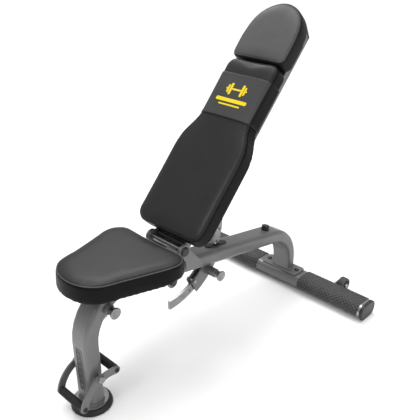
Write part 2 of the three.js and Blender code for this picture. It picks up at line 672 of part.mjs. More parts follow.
// ---------------------------------------------------------------- arc guide and pull pins
function addArcGuide(parent) {
  const inner = BACK_ARC_RADIUS - BACK_ARC_WIDTH / 2 - GUIDE_INSIDE;
  const shape = ringSector(BACK_PIVOT_Y, BACK_PIVOT_Z, inner, guideOutside, GUIDE_TO, GUIDE_FROM);
  const boltReach = BACK_ARC_RADIUS - BACK_ARC_WIDTH / 2 - GUIDE_BOLT_RADIUS - PLAY;
  const boltY = BACK_PIVOT_Y + boltReach * Math.cos(GUIDE_BOLT_ANGLE);
  const boltZ = BACK_PIVOT_Z + boltReach * Math.sin(GUIDE_BOLT_ANGLE);
  shape.holes.push(disc(BACK_PIN_Y, BACK_PIN_Z, PIN_RADIUS + TOUCH));
  shape.holes.push(disc(boltY, boltZ, GUIDE_BOLT_RADIUS + TOUCH));
  const blank = sideways(shape, GUIDE_X, GUIDE_X + GUIDE_PLATE);
  mirroredPair(parent, 'guide_plate', cut(blank, tubeSolid(TOUCH, false)), frameGrey);

  const face = GUIDE_X + GUIDE_PLATE + TOUCH;
  const bolt = turnedX([
    [-face - 4, 0],
    [-face - 4, 7],
    [-face, 7],
    [-face, GUIDE_BOLT_RADIUS],
    [face, GUIDE_BOLT_RADIUS],
    [face, 7],
    [face + 4, 7],
    [face + 4, 0],
  ], boltY, boltZ, 12);
  piece(parent, 'guide_bolt', bolt, blackSteel());
}

// A fixed housing round a sprung pin that is pulled out by its knob.
function addPullPin(fixed, moving, name, y, z, arcHalf, wallX, knobX) {
  const bore = PIN_RADIUS + TOUCH;
  const flange = wallX + 5;
  const neck = knobX - 12;
  const housing = turnedX([
    [wallX + TOUCH, bore],
    [wallX + TOUCH, PIN_HOUSING + 2],
    [flange, PIN_HOUSING + 2],
    [flange, PIN_HOUSING],
    [neck - 2, PIN_HOUSING],
    [neck, PIN_HOUSING - 2],
    [neck, bore],
    [wallX + TOUCH, bore],
  ], y, z);
  piece(fixed, `${name}_housing`, housing, blackPlastic());
  const rod = turnedX([
    [arcHalf + TOUCH * 2, 0],
    [arcHalf + TOUCH * 2, PIN_RADIUS - 1],
    [arcHalf + 2, PIN_RADIUS],
    [neck + 1, PIN_RADIUS],
    [neck + 1, PIN_HOUSING - 3],
    [knobX - TOUCH, PIN_HOUSING - 3],
    [knobX - TOUCH, 0],
  ], y, z);
  piece(moving, `${name}_rod`, rod, brightSteel());
  const knob = turnedX([
    [knobX, 0],
    [knobX, KNOB_RADIUS - 2],
    [knobX + 2, KNOB_RADIUS],
    [knobX + KNOB_THICKNESS - 3, KNOB_RADIUS],
    [knobX + KNOB_THICKNESS, KNOB_RADIUS - 3],
    [knobX + KNOB_THICKNESS, 0],
  ], y, z, 28);
  piece(moving, `${name}_knob`, knob, frameGrey());
}

// ---------------------------------------------------------------- back rest, in its own frame
// Its origin is the pivot, +Y runs up the pad and +Z points out of the pad's face.
function cushion(shape, top, foam) {
  const geometry = new THREE.ExtrudeGeometry(shape, {
    depth: foam - PAD_EDGE,
    bevelThickness: PAD_EDGE,
    bevelSize: PAD_EDGE,
    bevelOffset: -PAD_EDGE,
    bevelSegments: 2,
    curveSegments: 3,
  });
  const lower = box(-1000, 1000, -2000, 2000, -2 * PAD_EDGE, 0);
  return cut(geometry, lower).translate(0, 0, top - foam);
}

function slab(shape, top, thickness) {
  const geometry = new THREE.ExtrudeGeometry(shape, { depth: thickness, bevelEnabled: false, curveSegments: 3 });
  return geometry.translate(0, 0, top - thickness);
}

function backPadShape(inset) {
  const wide = BACK_PAD_HALF - inset;
  const neck = BACK_PAD_NECK_HALF - inset;
  const [low, high] = [BACK_PAD_START + inset, BACK_PAD_END - inset];
  const [lowRound, highRound] = [BACK_PAD_LOW_ROUND - inset, BACK_PAD_HIGH_ROUND - inset];
  const shape = new THREE.Shape();
  shape.absarc(-wide + lowRound, low + lowRound, lowRound, Math.PI, 1.5 * Math.PI, false);
  shape.absarc(wide - lowRound, low + lowRound, lowRound, 1.5 * Math.PI, 2 * Math.PI, false);
  shape.lineTo(wide, BACK_PAD_TAPER_START - PAD_BEND);
  shape.quadraticCurveTo(wide, BACK_PAD_TAPER_START, wide - PAD_BEND / 3, BACK_PAD_TAPER_START + PAD_BEND);
  shape.lineTo(neck + PAD_BEND / 3, BACK_PAD_TAPER_END - PAD_BEND);
  shape.quadraticCurveTo(neck, BACK_PAD_TAPER_END, neck, BACK_PAD_TAPER_END + PAD_BEND);
  shape.absarc(neck - highRound, high - highRound, highRound, 0, Math.PI / 2, false);
  shape.absarc(-neck + highRound, high - highRound, highRound, Math.PI / 2, Math.PI, false);
  shape.lineTo(-neck, BACK_PAD_TAPER_END + PAD_BEND);
  shape.quadraticCurveTo(-neck, BACK_PAD_TAPER_END, -neck - PAD_BEND / 3, BACK_PAD_TAPER_END - PAD_BEND);
  shape.lineTo(-wide + PAD_BEND / 3, BACK_PAD_TAPER_START + PAD_BEND);
  shape.quadraticCurveTo(-wide, BACK_PAD_TAPER_START, -wide, BACK_PAD_TAPER_START - PAD_BEND);
  shape.closePath();
  return shape;
}

function headPadShape(inset) {
  const half = HEAD_PAD_HALF - inset;
  const low = HEAD_PAD_START + inset;
  const crownFrom = HEAD_PAD_START + HEAD_PAD_STRAIGHT;
  const round = HEAD_PAD_ROUND - inset / 2;
  const shape = new THREE.Shape();
  shape.absarc(-half + round, low + round, round, Math.PI, 1.5 * Math.PI, false);
  shape.absarc(half - round, low + round, round, 1.5 * Math.PI, 2 * Math.PI, false);
  shape.lineTo(half, crownFrom);
  shape.absellipse(0, crownFrom, half, HEAD_PAD_LENGTH - HEAD_PAD_STRAIGHT - inset, 0, Math.PI, false, 0);
  shape.closePath();
  return shape;
}

function rail() {
  const [x0, x1, top, bottom] = [RAIL_INNER_X, RAIL_OUTER_X, RAIL_TOP, RAIL_TOP - RAIL_DEPTH];
  const blank = sideways(polygon([
    [RAIL_START, top],
    [RAIL_START, bottom],
    [RAIL_END - RAIL_END_SLANT, bottom],
    [RAIL_END, top],
  ]), x0, x1);
  const hollow = box(
    x0 + RAIL_WALL, x1 - RAIL_WALL, RAIL_START - 1, RAIL_END + 1, bottom + RAIL_WALL, top - RAIL_WALL,
  );
  return cut(blank, hollow);
}

function railPlug() {
  const [top, bottom] = [RAIL_TOP, RAIL_TOP - RAIL_DEPTH];
  return sideways(polygon([
    [RAIL_END + TOUCH, top],
    [RAIL_END - RAIL_END_SLANT + TOUCH, bottom],
    [RAIL_END - RAIL_END_SLANT + RAIL_PLUG, bottom],
    [RAIL_END + RAIL_PLUG, top],
  ]), RAIL_INNER_X, RAIL_OUTER_X);
}

function arm() {
  const railMiddle = RAIL_TOP - RAIL_DEPTH / 2;
  const shape = new THREE.Shape();
  shape.absarc(0, 0, ARM_BOSS, Math.PI / 2, 1.5 * Math.PI, false);
  shape.lineTo(RAIL_START - 20, -ARM_BOSS - 8);
  shape.lineTo(RAIL_START + 10, railMiddle - 16);
  shape.lineTo(RAIL_START + 110, railMiddle);
  shape.lineTo(RAIL_START + 70, RAIL_TOP - 4);
  shape.lineTo(RAIL_START - 10, RAIL_TOP - 4);
  shape.lineTo(40, PAD_PLATE_TOP - 2);
  shape.lineTo(20, 8);
  shape.closePath();
  shape.holes.push(disc(0, 0, BACK_AXLE_RADIUS + TOUCH));
  return sideways(shape, ARM_X, ARM_X + ARM);
}

function backArc() {
  const [inner, outer] = [BACK_ARC_RADIUS - BACK_ARC_WIDTH / 2, BACK_ARC_RADIUS + BACK_ARC_WIDTH / 2];
  const shape = ringSector(0, 0, inner, outer, BACK_ARC_TAIL, BACK_ARC_HEAD);
  for (let k = -BACK_HOLES_BELOW; k <= BACK_HOLES_ABOVE; k += 1) {
    const angle = BACK_PIN_ANGLE - BACK_ANGLE + k * BACK_HOLE_STEP;
    shape.holes.push(disc(BACK_ARC_RADIUS * Math.cos(angle), BACK_ARC_RADIUS * Math.sin(angle), PIN_RADIUS + 0.5));
  }
  return sideways(shape, -BACK_ARC_HALF, BACK_ARC_HALF, 8);
}

function addBackRest(parent) {
  const back = new THREE.Group();
  back.position.set(0, BACK_PIVOT_Y, BACK_PIVOT_Z);
  back.rotation.x = BACK_ANGLE;
  parent.add(back);

  piece(back, 'back_cushion', cushion(backPadShape(0), BACK_TOP, FOAM), vinyl());
  piece(back, 'back_board', slab(backPadShape(BOARD_INSET), BOARD_TOP, BOARD), plywood());
  piece(back, 'head_cushion', cushion(headPadShape(0), BACK_TOP, FOAM), vinyl());
  piece(back, 'head_board', slab(headPadShape(BOARD_INSET), BOARD_TOP, BOARD), plywood());

  mirroredPair(back, 'back_rail', rail(), frameGrey);
  mirroredPair(back, 'rail_plug', railPlug(), blackPlastic);
  mirroredPair(back, 'back_arm', arm(), blackSteel);

  for (const [name, along] of [['low', LOW_PAD_PLATE], ['high', HIGH_PAD_PLATE]]) {
    const half = PAD_PLATE_LENGTH / 2;
    const plate = box(-PAD_PLATE_HALF, PAD_PLATE_HALF, along - half, along + half, PAD_PLATE_TOP - PAD_PLATE, PAD_PLATE_TOP);
    piece(back, `pad_plate_${name}`, plate, blackSteel());
  }

  const crossEnd = ARM_X - TOUCH;
  const cross = rodX(CROSS_TUBE_RADIUS, -crossEnd, crossEnd, CROSS_TUBE_ALONG, -CROSS_TUBE_BELOW);
  piece(back, 'back_cross_tube', cross, blackSteel());

  const barEnd = RAIL_INNER_X - TOUCH;
  const stopHalf = STOP_BAR_WIDTH / 2;
  const stop = box(-barEnd, barEnd, STOP_BAR_ALONG - stopHalf, STOP_BAR_ALONG + stopHalf, -STOP_BAR_BELOW, RAIL_TOP);
  piece(back, 'stop_bar', stop, blackSteel());

  const barFront = ARC_BAR_ALONG - ARC_BAR_WIDTH / 2;
  const bar = box(-barEnd, barEnd, barFront, barFront + ARC_BAR_WIDTH, RAIL_TOP - ARC_BAR_DEPTH, RAIL_TOP);
  const pastBar = box(-barEnd, barEnd, barFront - TOUCH, RAIL_END, -2 * RAIL_DEPTH, BACK_TOP);
  piece(back, 'arc_bar', bar, blackSteel());
  piece(back, 'back_arc', cut(backArc(), pastBar), brightSteel());
}

// ---------------------------------------------------------------- seat, in its own frame
// Its origin is the seat pivot, +Y runs to the rear and +Z points out of the pad's face.
function seatShape(inset) {
  const rear = SEAT_REAR - inset;
  const wide = SEAT_REAR_HALF - inset;
  const shoulder = SEAT_SHOULDER_HALF - inset;
  const round = SEAT_ROUND - inset;
  const taperTop = SEAT_REAR - SEAT_ROUND - 10;
  const shape = new THREE.Shape();
  shape.absarc(wide - round, rear - round, round, 0, Math.PI / 2, false);
  shape.absarc(-wide + round, rear - round, round, Math.PI / 2, Math.PI, false);
  shape.quadraticCurveTo(-wide, taperTop, -wide + 4, taperTop - 20);
  shape.lineTo(-shoulder - 10, SEAT_SHOULDER + 40);
  shape.quadraticCurveTo(-shoulder, SEAT_SHOULDER + 10, -shoulder, SEAT_SHOULDER);
  shape.absellipse(0, SEAT_SHOULDER, shoulder, SEAT_SHOULDER - SEAT_NOSE - inset, Math.PI, 2 * Math.PI, false, 0);
  shape.quadraticCurveTo(shoulder, SEAT_SHOULDER + 10, shoulder + 10, SEAT_SHOULDER + 40);
  shape.lineTo(wide - 4, taperTop - 20);
  shape.quadraticCurveTo(wide, taperTop, wide, rear - round);
  shape.closePath();
  return shape;
}

function seatBracket() {
  const [top, bottom] = [SEAT_WEB_TOP, SEAT_WEB_TOP - SEAT_WEB];
  const outline = new THREE.Shape();
  const edge = bottom + SEAT_WEB - SEAT_PLATE_DROP;
  outline.moveTo(SEAT_FRONT_WEB, top);
  outline.lineTo(SEAT_FRONT_WEB, edge + 8);
  outline.lineTo(SEAT_FRONT_WEB + 14, edge);
  outline.lineTo(-55, edge);
  outline.lineTo(-SEAT_LUG, 6);
  outline.absarc(0, 0, SEAT_LUG, Math.PI, 2 * Math.PI, false);
  outline.lineTo(SEAT_WEB_REAR, top);
  outline.closePath();
  outline.holes.push(disc(0, 0, SEAT_AXLE_RADIUS + TOUCH));
  const side = sideways(outline, SEAT_PLATE_X, SEAT_PLATE_X + SEAT_PLATE);
  const web = box(-SEAT_PLATE_X - 1, SEAT_PLATE_X + 1, SEAT_FRONT_WEB, SEAT_REAR - 12, bottom, top);
  const window = box(
    -SEAT_WINDOW_HALF, SEAT_WINDOW_HALF, SEAT_WINDOW_FRONT, SEAT_WINDOW_REAR, bottom - 1, top + 1,
  );
  return join(side, mirroredInX(side), cut(web, window));
}

function seatArc() {
  const [inner, outer] = [SEAT_ARC_RADIUS - SEAT_ARC_WIDTH / 2, SEAT_ARC_RADIUS + SEAT_ARC_WIDTH / 2];
  const shape = ringSector(0, 0, inner, outer, Math.PI - 0.6, Math.PI - SEAT_ARC_TAIL);
  for (let k = 0; k < SEAT_HOLES; k += 1) {
    const angle = Math.PI - SEAT_ANGLE + k * SEAT_HOLE_STEP;
    shape.holes.push(disc(SEAT_ARC_RADIUS * Math.cos(angle), SEAT_ARC_RADIUS * Math.sin(angle), PIN_RADIUS + 0.5));
  }
  const above = box(-50, 50, -400, 0, SEAT_WEB_TOP - SEAT_WEB - TOUCH, SEAT_TOP + 100);
  return cut(sideways(shape, -SEAT_ARC_HALF, SEAT_ARC_HALF), above);
}

function addSeat(parent) {
  const seat = new THREE.Group();
  seat.position.set(0, SEAT_PIVOT_Y, SEAT_PIVOT_Z);
  seat.rotation.x = SEAT_ANGLE;
  parent.add(seat);

  piece(seat, 'seat_cushion', cushion(seatShape(0), SEAT_TOP, SEAT_FOAM), vinyl());
  piece(seat, 'seat_board', slab(seatShape(BOARD_INSET), SEAT_BOARD_TOP, BOARD), plywood());
  piece(seat, 'seat_bracket', seatBracket(), frameGrey());
  piece(seat, 'seat_arc', seatArc(), brightSteel());
}

// ---------------------------------------------------------------- the whole bench
const bench = new THREE.Group();
addMainTube(bench);
addSlotBezel(bench);
addBumper(bench);
addFoot(bench);
addHandleFrame(bench);
addStabiliser(bench);
addWheels(bench);
addHingeBracket(bench);
addAxles(bench);
addArcGuide(bench);
addPullPin(bench, bench, 'back_pin', BACK_PIN_Y, BACK_PIN_Z, BACK_ARC_HALF, GUIDE_X + GUIDE_PLATE, BACK_KNOB_X);
addPullPin(bench, bench, 'seat_pin', SEAT_PIN_Y, SEAT_PIVOT_Z, SEAT_ARC_HALF, TUBE_HALF, SEAT_KNOB_X);
addBackRest(bench);
addSeat(bench);

export default bench;
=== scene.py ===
"""Adjustable weight bench: detailed pieces and finishes around the fixed CAD frame."""
import json
import math

import bmesh
import bpy
import numpy as np
from bpy.props import FloatProperty, FloatVectorProperty, IntProperty, PointerProperty
from mathutils import Matrix, Vector
from mathutils.bvhtree import BVHTree


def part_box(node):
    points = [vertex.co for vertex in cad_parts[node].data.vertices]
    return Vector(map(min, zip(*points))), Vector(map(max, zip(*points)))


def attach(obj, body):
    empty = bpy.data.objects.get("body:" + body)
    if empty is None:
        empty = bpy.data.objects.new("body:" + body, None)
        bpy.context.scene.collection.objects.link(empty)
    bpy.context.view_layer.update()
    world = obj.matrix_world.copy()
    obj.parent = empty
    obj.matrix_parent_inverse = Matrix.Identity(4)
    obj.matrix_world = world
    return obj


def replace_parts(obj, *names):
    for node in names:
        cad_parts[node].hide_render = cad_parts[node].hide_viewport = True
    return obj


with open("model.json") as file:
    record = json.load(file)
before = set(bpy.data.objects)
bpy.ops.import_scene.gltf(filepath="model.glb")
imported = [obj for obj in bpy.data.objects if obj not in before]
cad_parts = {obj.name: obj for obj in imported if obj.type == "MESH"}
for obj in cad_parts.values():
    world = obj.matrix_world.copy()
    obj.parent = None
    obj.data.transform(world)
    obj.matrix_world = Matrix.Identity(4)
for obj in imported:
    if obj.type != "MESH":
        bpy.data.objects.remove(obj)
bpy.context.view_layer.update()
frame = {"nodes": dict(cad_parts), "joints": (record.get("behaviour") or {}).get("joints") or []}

bl_info = {
    "name": "Adjustable Weight Bench",
    "version": (1, 0, 0),
    "blender": (4, 5, 0),
    "location": "View3D > Sidebar > Weight Bench",
    "description": "Builds the cushions, fittings and finishes of an adjustable weight bench",
    "category": "Object",
}

JOINTS = {joint["name"]: joint for joint in frame["joints"]}


# ---------------------------------------------------------------- sizes and colours
def length(name, description, default, low=0.0):
    return FloatProperty(
        name=name, description=description, default=default, min=low, subtype="DISTANCE", unit="LENGTH"
    )


def colour(name, description, default):
    return FloatVectorProperty(
        name=name, description=description, default=default, size=3, min=0, max=1, subtype="COLOR"
    )


def angle(name, description, degrees):
    return FloatProperty(
        name=name, description=description, default=math.radians(degrees), subtype="ANGLE", unit="ROTATION"
    )


class BenchPads(bpy.types.PropertyGroup):
    """Sizes of the upholstery."""

    back_lean: angle("Back lean", "Angle of the back rest above the horizontal", 47.3)
    seat_lean: angle("Seat lean", "Angle of the seat, below zero with its nose high", -2.4)
    swell: length("Swell", "Most that the foam may lift the cover", 0.003)
    crown: length("Crown", "Rise of a cushion's middle above its edges", 0.003)
    voxel: length("Cover mesh", "Cell size of the cover before it is settled", 0.0055, 0.003)
    piping: length("Piping", "Radius of the cord sewn into the top seam", 0.0013)
    stitch: length("Stitch", "Length of one stitch", 0.0034)
    thread: length("Thread", "Width of a stitch", 0.0009)
    thread_rise: length("Thread rise", "Height of a stitch", 0.0008)
    stitch_pitch: length("Stitch pitch", "Distance from one stitch to the next", 0.0048, 0.001)
    sleeve_low: length("Sleeve start", "Lower edge of the printed sleeve, up the back pad", 0.417)
    sleeve_thick: length("Sleeve thickness", "Thickness of the padded sleeve", 0.0034)
    sleeve_high: length("Sleeve end", "Upper edge of the printed sleeve, up the back pad", 0.559)


class BenchDetail(bpy.types.PropertyGroup):
    """Sizes of the fittings."""

    edge: length("Edge break", "Rounding of the steel edges", 0.0008)
    diamond: length("Diamond", "Long diagonal of a tread diamond", 0.0150, 0.002)
    diamond_rise: length("Diamond rise", "Height of a tread diamond", 0.0012)
    bead: length("Weld bead", "Radius of a weld bead", 0.0026)
    screw: length("Screw head", "Radius of a pad screw's head", 0.0065)
    facets: IntProperty(name="Facets", description="Facets round a turned piece", default=72, min=16)


class BenchColours(bpy.types.PropertyGroup):
    """Colours of the finishes."""

    paint: colour("Frame paint", "Satin grey powder coat", (0.150, 0.150, 0.151))
    vinyl: colour("Vinyl", "Charcoal upholstery vinyl", (0.021, 0.021, 0.0213))
    sleeve: colour("Sleeve", "Printed sleeve on the back pad", (0.052, 0.052, 0.0525))
    head: colour("Head vinyl", "Head pad and piping, a little lighter than the rest", (0.085, 0.085, 0.086))
    black: colour("Black paint", "Satin black paint", (0.012, 0.012, 0.013))
    steel: colour("Zinc plate", "Bright zinc plated steel", (0.30, 0.30, 0.303))
    rubber: colour("Rubber", "Black rubber", (0.014, 0.014, 0.0145))
    print_yellow: colour("Print", "Yellow of the printed motif", (0.76, 0.58, 0.0))


# ---------------------------------------------------------------- materials
class Value:
    """A number that changes over a surface, written in ordinary arithmetic."""

    def __init__(self, tree, socket):
        self.tree = tree
        self.socket = socket

    def _with(self, operation, first, second):
        node = self.tree.nodes.new("ShaderNodeMath")
        node.operation = operation
        for place, value in enumerate((first, second)):
            if isinstance(value, Value):
                self.tree.links.new(value.socket, node.inputs[place])
            else:
                node.inputs[place].default_value = value
        return Value(self.tree, node.outputs[0])

    def __add__(self, other):
        return self._with("ADD", self, other)

    def __sub__(self, other):
        return self._with("SUBTRACT", self, other)

    def __rsub__(self, other):
        return self._with("SUBTRACT", other, self)

    def __mul__(self, other):
        return self._with("MULTIPLY", self, other)

    __radd__ = __add__
    __rmul__ = __mul__


class Finish:
    """One procedural material on object coordinates."""

    def __init__(self, name, metallic=0.0, **constants):
        self.material = bpy.data.materials.new(name)
        self.material.use_nodes = True
        self.tree = self.material.node_tree
        self.tree.nodes.clear()
        self.shader = self.node("ShaderNodeBsdfPrincipled", {}, {"Metallic": metallic, **constants})
        output = self.node("ShaderNodeOutputMaterial")
        self.tree.links.new(self.shader.outputs[0], output.inputs[0])
        self.place = self.node("ShaderNodeTexCoord").outputs["Object"]

    def node(self, kind, settings=None, sockets=None):
        node = self.tree.nodes.new(kind)
        for key, value in (settings or {}).items():
            if key == "stops":
                ramp = node.color_ramp.elements
                while len(ramp) < len(value):
                    ramp.new(0.5)
                for stop, (position, shade) in zip(ramp, value):
                    stop.position = position
                    stop.color = (shade, shade, shade, 1)
            else:
                setattr(node, key, value)
        for key, value in (sockets or {}).items():
            source = value.socket if isinstance(value, Value) else value
            if isinstance(source, bpy.types.NodeSocket):
                self.tree.links.new(source, node.inputs[key])
            else:
                node.inputs[key].default_value = source
        return node

    def value(self, node, output=0):
        return Value(self.tree, node.outputs[output])

    def stretched(self, scale):
        return self.node("ShaderNodeMapping", {}, {"Vector": self.place, "Scale": scale}).outputs[0]

    def noise(self, scale, detail=2.0, roughness=0.5, place=None):
        sockets = {"Vector": place or self.place, "Scale": scale, "Detail": detail, "Roughness": roughness}
        return self.value(self.node("ShaderNodeTexNoise", {}, sockets))

    def cells(self, scale, feature="F1", output="Distance", place=None):
        sockets = {"Vector": place or self.place, "Scale": scale}
        return self.value(self.node("ShaderNodeTexVoronoi", {"feature": feature}, sockets), output)

    def ramp(self, value, *stops):
        return self.value(self.node("ShaderNodeValToRGB", {"stops": stops}, {"Fac": value}))

    def mixed(self, factor, first, second):
        sockets = {0: factor}
        for key, shade in ((6, first), (7, second)):
            sockets[key] = shade if isinstance(shade, bpy.types.NodeSocket) else (*shade, 1)
        return self.node("ShaderNodeMix", {"data_type": "RGBA"}, sockets).outputs[2]

    def surface(self, shade, roughness, height=None, strength=0.3, depth=0.0005):
        feeds = {"Base Color": shade, "Roughness": roughness}
        if height is not None:
            sockets = {"Height": height, "Strength": strength, "Distance": depth}
            feeds["Normal"] = self.node("ShaderNodeBump", {}, sockets).outputs[0]
        for key, source in feeds.items():
            source = source.socket if isinstance(source, Value) else source
            if isinstance(source, bpy.types.NodeSocket):
                self.tree.links.new(source, self.shader.inputs[key])
            else:
                self.shader.inputs[key].default_value = source
        return self.material


def shaded(rgb, factor):
    return tuple(min(1.0, channel * factor) for channel in rgb)


def powder_coat(name, rgb, metallic, roughness, sparkle):
    finish = Finish(name, metallic, **{"Coat Weight": 0.12, "Coat Roughness": 0.25})
    peel = finish.noise(420, 3, 0.55)
    flakes = finish.cells(2600)
    dust = finish.noise(9, 5, 0.6)
    shade = finish.mixed(dust, shaded(rgb, 0.86), shaded(rgb, 1.14))
    shade = finish.mixed(finish.ramp(flakes, (0.02, 1.0), (0.22, 0.0)) * sparkle, shade, shaded(rgb, 1.9))
    rub = finish.ramp(finish.noise(28, 6, 0.7), (0.35, 0.0), (0.75, 1.0))
    return finish.surface(shade, rub * 0.14 + (roughness - 0.06), peel + flakes * 0.3, 0.10, 0.0004)


def vinyl_cover(name, rgb, roughness):
    """Embossed vinyl. The attribute side is 1 on the band round a cushion below its seam, which the colour
    darkens to a tenth as painted shade on the cushion's sides.
    """
    finish = Finish(name, 0.0, **{"Specular IOR Level": 0.10, "Coat Roughness": 0.30})
    side = finish.value(finish.node("ShaderNodeAttribute", {"attribute_name": "side"}), "Fac")
    finish.tree.links.new(((1 - side) * 0.20).socket, finish.shader.inputs["Coat Weight"])
    pebbles = finish.cells(620, "SMOOTH_F1")
    creases = finish.cells(330, "DISTANCE_TO_EDGE")
    drift = finish.noise(14, 4, 0.55)
    pores = finish.noise(2600, 2, 0.5)
    shade = finish.mixed(drift, shaded(rgb, 0.82), shaded(rgb, 1.2))
    # Painted shade: the colour darkens to 0.45 in the grain's creases, the same valleys that the bump sinks.
    shade = finish.mixed(finish.ramp(creases, (0.0, 0.35), (0.09, 0.0)), shade, shaded(rgb, 0.45))
    # Painted shade: where side is 1, the band round the cushion's sides is darkened to a tenth of the
    # colour.
    shade = finish.mixed(side * 0.94, shade, shaded(rgb, 0.1))
    grain = finish.ramp(creases, (0.0, 0.0), (0.12, 1.0)) + pebbles * 0.8 + pores * 0.15
    worn = finish.noise(34, 5, 0.65)
    return finish.surface(shade, worn * 0.16 + (roughness - 0.08), grain, 0.22, 0.00035)


def zinc_plate(name, rgb):
    finish = Finish(name, 1.0, **{"Anisotropic": 0.25})
    spangle = finish.cells(95, "F1", "Color")
    streaks = finish.noise(8, 4, 0.6, finish.stretched((12, 260, 260)))
    stain = finish.noise(22, 6, 0.65)
    shade = finish.mixed(spangle * 0.5 + streaks * 0.3, shaded(rgb, 0.74), shaded(rgb, 1.22))
    shade = finish.mixed(finish.ramp(stain, (0.52, 0.0), (0.78, 0.5)), shade, shaded(rgb, 0.42))
    return finish.surface(shade, streaks * 0.18 + 0.24, streaks + spangle * 0.2, 0.08, 0.0003)


def moulded(name, rgb, roughness, scale, strength):
    finish = Finish(name, 0.0, **{"Specular IOR Level": 0.45})
    texture = finish.noise(scale, 2, 0.6)
    dust = finish.ramp(finish.noise(40, 6, 0.7), (0.45, 0.0), (0.85, 1.0))
    shade = finish.mixed(dust, rgb, shaded(rgb, 2.1))
    return finish.surface(shade, dust * 0.15 + roughness, texture, strength, 0.0004)


def painted_plywood(name, rgb):
    finish = Finish(name, 0.0, **{"Specular IOR Level": 0.35})
    fibres = finish.noise(60, 5, 0.6, finish.stretched((9, 0.5, 9)))
    plies = finish.ramp(finish.noise(6, 2, 0.5, finish.stretched((1, 1, 90))), (0.4, 0.0), (0.6, 1.0))
    shade = finish.mixed(fibres, shaded(rgb, 0.6), shaded(rgb, 1.6))
    shade = finish.mixed(plies * 0.35, shade, shaded(rgb, 2.4))
    return finish.surface(shade, fibres * 0.2 + 0.62, fibres, 0.35, 0.0006)


def printed(name, rgb):
    finish = Finish(name, 0.0, **{"Specular IOR Level": 0.4})
    crackle = finish.ramp(finish.cells(330, "DISTANCE_TO_EDGE"), (0.0, 1.0), (0.05, 0.0))
    shade = finish.mixed(crackle * 0.35, rgb, shaded(rgb, 0.55))
    return finish.surface(shade, finish.noise(200) * 0.15 + 0.42, crackle, 0.15, 0.0002)


def thread(name, rgb):
    finish = Finish(name, 0.0)
    twist = finish.noise(2400, 2, 0.5)
    shade = finish.mixed(twist, shaded(rgb, 0.5), shaded(rgb, 1.5))
    return finish.surface(shade, twist * 0.2 + 0.6, twist, 0.4, 0.0002)


FINISHES = {}


def make_finishes(colours):
    FINISHES.update(
        paint=powder_coat("grey_powder_coat", colours.paint, 0.35, 0.40, 0.30),
        black=powder_coat("black_satin_paint", colours.black, 0.1, 0.45, 0.08),
        steel=zinc_plate("zinc_plated_steel", colours.steel),
        trim=zinc_plate("bright_trim", shaded(colours.steel, 1.35)),
        plastic=moulded("black_moulded_plastic", colours.rubber, 0.42, 1500, 0.12),
        rubber=moulded("black_rubber", shaded(colours.rubber, 0.8), 0.62, 900, 0.25),
        # Lighter rubber, for the wheels and the tread studs; on a tread the lighter studs over the black
        # base are painted light on the studs and painted shade in the grooves.
        tread=moulded("tread_rubber", shaded(colours.rubber, 3.4), 0.56, 700, 0.3),
        vinyl=vinyl_cover("charcoal_vinyl", colours.vinyl, 0.42),
        sleeve=vinyl_cover("sleeve_vinyl", colours.sleeve, 0.50),
        head=vinyl_cover("head_vinyl", colours.head, 0.44),
        board=painted_plywood("painted_plywood", (0.022, 0.020, 0.018)),
        print=printed("yellow_print", colours.print_yellow),
        thread=thread("black_thread", (0.030, 0.030, 0.032)),
    )


# ---------------------------------------------------------------- mesh helpers
def linked(name, data):
    """An object of its own in the scene."""
    made = bpy.data.objects.new(name, data)
    bpy.context.scene.collection.objects.link(made)
    return made


def evaluated(thing):
    """A new mesh of the object as its modifiers leave it."""
    bpy.context.view_layer.update()
    graph = bpy.context.evaluated_depsgraph_get()
    return bpy.data.meshes.new_from_object(thing.evaluated_get(graph), depsgraph=graph)


def corners_in(node, matrix):
    """A CAD node's corners in the frame of a matrix."""
    inverse = matrix.inverted()
    return [inverse @ v.co for v in frame["nodes"][node].data.vertices]


def new_piece(name, mesh, body, finish, smooth=math.radians(40)):
    """A finished piece that rides on a body, its place in its mesh."""
    mesh.name = name
    piece = linked(name, mesh)
    mesh.materials.clear()
    mesh.materials.append(FINISHES[finish])
    mesh.polygons.foreach_set("use_smooth", [True] * len(mesh.polygons))
    if smooth:
        mesh.set_sharp_from_angle(angle=smooth)
    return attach(piece, body)


def mesh_of(build, matrix=None):
    """A mesh from a function that fills a bmesh, its normals outwards, moved by a matrix if there is one."""
    work = bmesh.new()
    build(work)
    bmesh.ops.recalc_face_normals(work, faces=work.faces[:])
    mesh = bpy.data.meshes.new("work")
    work.to_mesh(mesh)
    work.free()
    if matrix:
        mesh.transform(matrix)
    return mesh


def bridged(work, low, high, shift=0):
    """Faces from one ring of corners to the next."""
    count = len(low)
    for i in range(count):
        j = (i + 1) % count
        work.faces.new((low[i], low[j], high[(j + shift) % count], high[(i + shift) % count]))


def plate(work, outline, front, back):
    """A closed plate with an outline of (x, z), from one depth to another."""
    near, far = ([work.verts.new((x, y, z)) for x, z in outline] for y in (front, back))
    work.faces.new(near)
    work.faces.new(far[::-1])
    bridged(work, near, far)


def bars(x0, x1, z0, z1):
    """The outline of an upright rectangle."""
    return [(x0, z0), (x1, z0), (x1, z1), (x0, z1)]


def refined(node, width, sharp=30):
    """A merged copy of a CAD node with its sharp edges rounded."""
    work = bmesh.new()
    work.from_mesh(frame["nodes"][node].data)
    bmesh.ops.remove_doubles(work, verts=work.verts[:], dist=2e-6)
    bmesh.ops.dissolve_limit(work, angle_limit=math.radians(0.4), verts=work.verts[:], edges=work.edges[:])
    if width:
        sharpest = math.radians(sharp)
        edges = [e for e in work.edges if len(e.link_faces) == 2 and e.calc_face_angle(0) > sharpest]
        bmesh.ops.bevel(
            work, geom=edges, offset=width, segments=2, profile=0.5, affect="EDGES", clamp_overlap=True
        )
    mesh = bpy.data.meshes.new(node)
    work.to_mesh(mesh)
    work.free()
    return mesh


